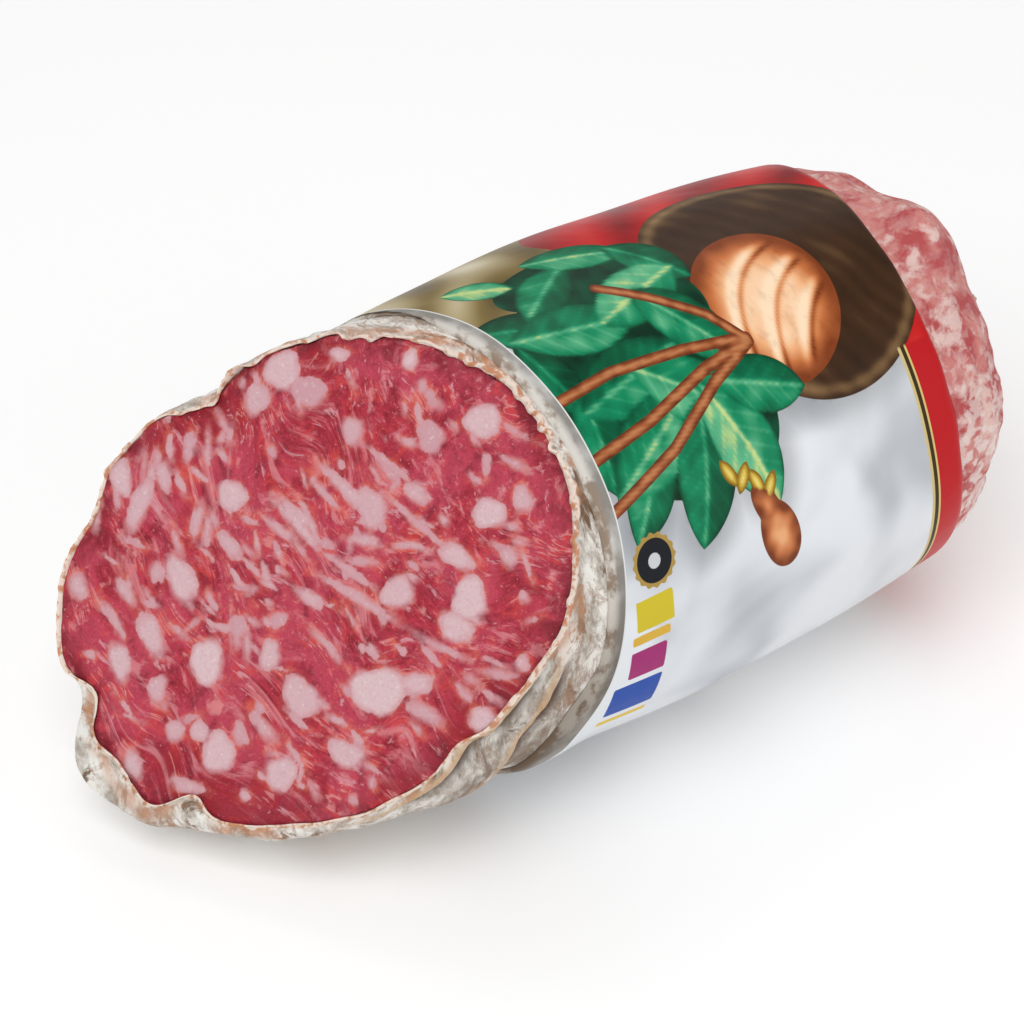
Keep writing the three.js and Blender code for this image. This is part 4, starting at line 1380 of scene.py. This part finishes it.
def ropes_along(path, plies=PLIES, ply_radius=PLY_RADIUS, offset=PLY_OFFSET, lay=LAY_LENGTH):
    """Grids (ply, row, side, 3) of tubes that wind round a path: a turn of offset for each lay length."""
    ahead = np.gradient(path, axis=0)
    ahead /= np.linalg.norm(ahead, axis=1, keepdims=True)
    y, z = axis_at(np.array(TIE_X))
    outward = path - np.array([TIE_X, y, z])
    side = np.cross(ahead, outward)
    side /= np.maximum(np.linalg.norm(side, axis=1, keepdims=True), 1e-6)
    up = np.cross(side, ahead)
    length = np.concatenate([[0], np.cumsum(np.linalg.norm(np.diff(path, axis=0), axis=1))])
    start = np.arange(plies)[:, None] * 2 * np.pi / plies
    turn = 2 * np.pi * length[None, :] / lay + start
    middle = path + offset * (np.cos(turn)[..., None] * side + np.sin(turn)[..., None] * up)
    round_ply = np.arange(TWINE_SIDES) * 2 * np.pi / TWINE_SIDES
    ends = np.ones(len(path))
    ends[0] = ends[-1] = 0
    across = np.cos(round_ply)[:, None] * side[:, None] + np.sin(round_ply)[:, None] * up[:, None]
    return middle[:, :, None] + (ply_radius * ends)[None, :, None, None] * across[None]


def twine_paths():
    """Tail, two turns, tail, as one path, and the two small loops that make the knot."""
    share = np.linspace(0, 1, 97)
    turns = neck_point(TIE_X - 0.85 + 1.7 * share, WIND_RADIUS + 0 * share, KNOT_ANGLE + 720 * share)
    knot = neck_point(np.array(TIE_X), np.array(WIND_RADIUS + 0.9), np.array(float(KNOT_ANGLE)))
    reach = np.linspace(9.2, 1.2, 9)[:, None]
    bow = 0.05 * (reach - 1.2) ** 2 * 0.5
    one = knot + SIDEWAYS * reach - UPWARD * bow + np.array([1.0, 0, 0])
    other = knot - SIDEWAYS * reach - UPWARD * bow + np.array([-0.6, 0, 0])
    whole = np.concatenate([one, turns, other[::-1]])
    loop = np.linspace(0, 2 * np.pi, 41)[:, None]
    level = np.array([1, 0, 0])
    first = knot + 1.75 * (np.cos(loop) * level + np.sin(loop) * UPWARD) * 0.9 + 0.45 * SIDEWAYS
    level = np.array([0.8, 0, 0]) + 0.6 * SIDEWAYS
    second = knot + 1.5 * (np.cos(loop) * level + np.sin(loop) * UPWARD) * 0.9
    paths = [smooth_path(whole, 420), smooth_path(first, 60), smooth_path(second - 0.5 * SIDEWAYS, 60)]
    return paths, one[0], other[0]


def frayed_fibres(tip, heading, seed, count=14):
    """Short thin fibres that spread from a cut end: each bends away by the square of its length."""
    draw = np.random.default_rng(seed)
    share = np.linspace(0, 1, 7)
    spread = draw.normal(size=(count, 1, 3)) * 0.55
    length = draw.uniform(0.6, 1.6, (count, 1, 1))
    path = tip + (heading * share[:, None] + spread * share[:, None] ** 2) * length
    return [ropes_along(fibre, 1, 0.07, 0.12, 3) for fibre in path]


def tube_quads(grids):
    """Vertices and faces of many closed tubes of one size, as arrays."""
    tubes, rows, sides = grids.shape[:3]
    quads = quads_between(rows, sides, False)
    offset = (np.arange(tubes) * rows * sides)[:, None, None]
    return grids.reshape(-1, 3), (quads[None] + offset).reshape(-1, 4)


def twine_mesh():
    """All plies and fibres in one mesh, with their pinched ends merged to points."""
    paths, one, other = twine_paths()
    parts = [tube_quads(ropes_along(path)) for path in paths]
    for tip, heading, seed in ((one, SIDEWAYS, 61), (other, -SIDEWAYS, 62)):
        parts += [tube_quads(fibre) for fibre in frayed_fibres(tip, heading, seed)]
    counts = np.cumsum([0] + [len(points) for points, _ in parts])
    points = np.concatenate([points for points, _ in parts]) * MM
    quads = np.concatenate([faces + start for (_, faces), start in zip(parts, counts)])
    mesh = bpy.data.meshes.new("tie_twine_wound")
    mesh.from_pydata(points.tolist(), [], quads.tolist())
    # Pinched rows become single points, so every tube closes at its ends.
    work = bmesh.new()
    work.from_mesh(mesh)
    bmesh.ops.remove_doubles(work, verts=work.verts, dist=1e-7)
    bmesh.ops.dissolve_degenerate(work, edges=work.edges, dist=1e-8)
    bmesh.ops.recalc_face_normals(work, faces=work.faces)
    work.to_mesh(mesh)
    work.free()
    return mesh


def cotton_finish():
    """Undyed cotton: cream with darker tan flecks and patches of noise, with fibres as fine bump."""
    paint = Paint("cotton_twine")
    place = paint.place()
    fibre = paint.noise(place, 0.18, 4, 0.7)
    tone = paint.mix(paint.rise(fibre, 0.35, 0.7), linear(172, 152, 118), linear(226, 214, 188))
    tone = paint.glaze(tone, (196, 178, 146), paint.noise(place, 3, 2), 0.45, 0.7)
    normal = paint.bump(fibre, 0.12, 0.8)
    return paint.finish(
        Base_Color=tone, Roughness=0.9, Normal=normal, Specular_IOR_Level=0.25, Sheen_Weight=0.3,
        Sheen_Roughness=0.5)


add_piece("tie_twine_wound", twine_mesh(), cotton_finish(), "tie_twine")
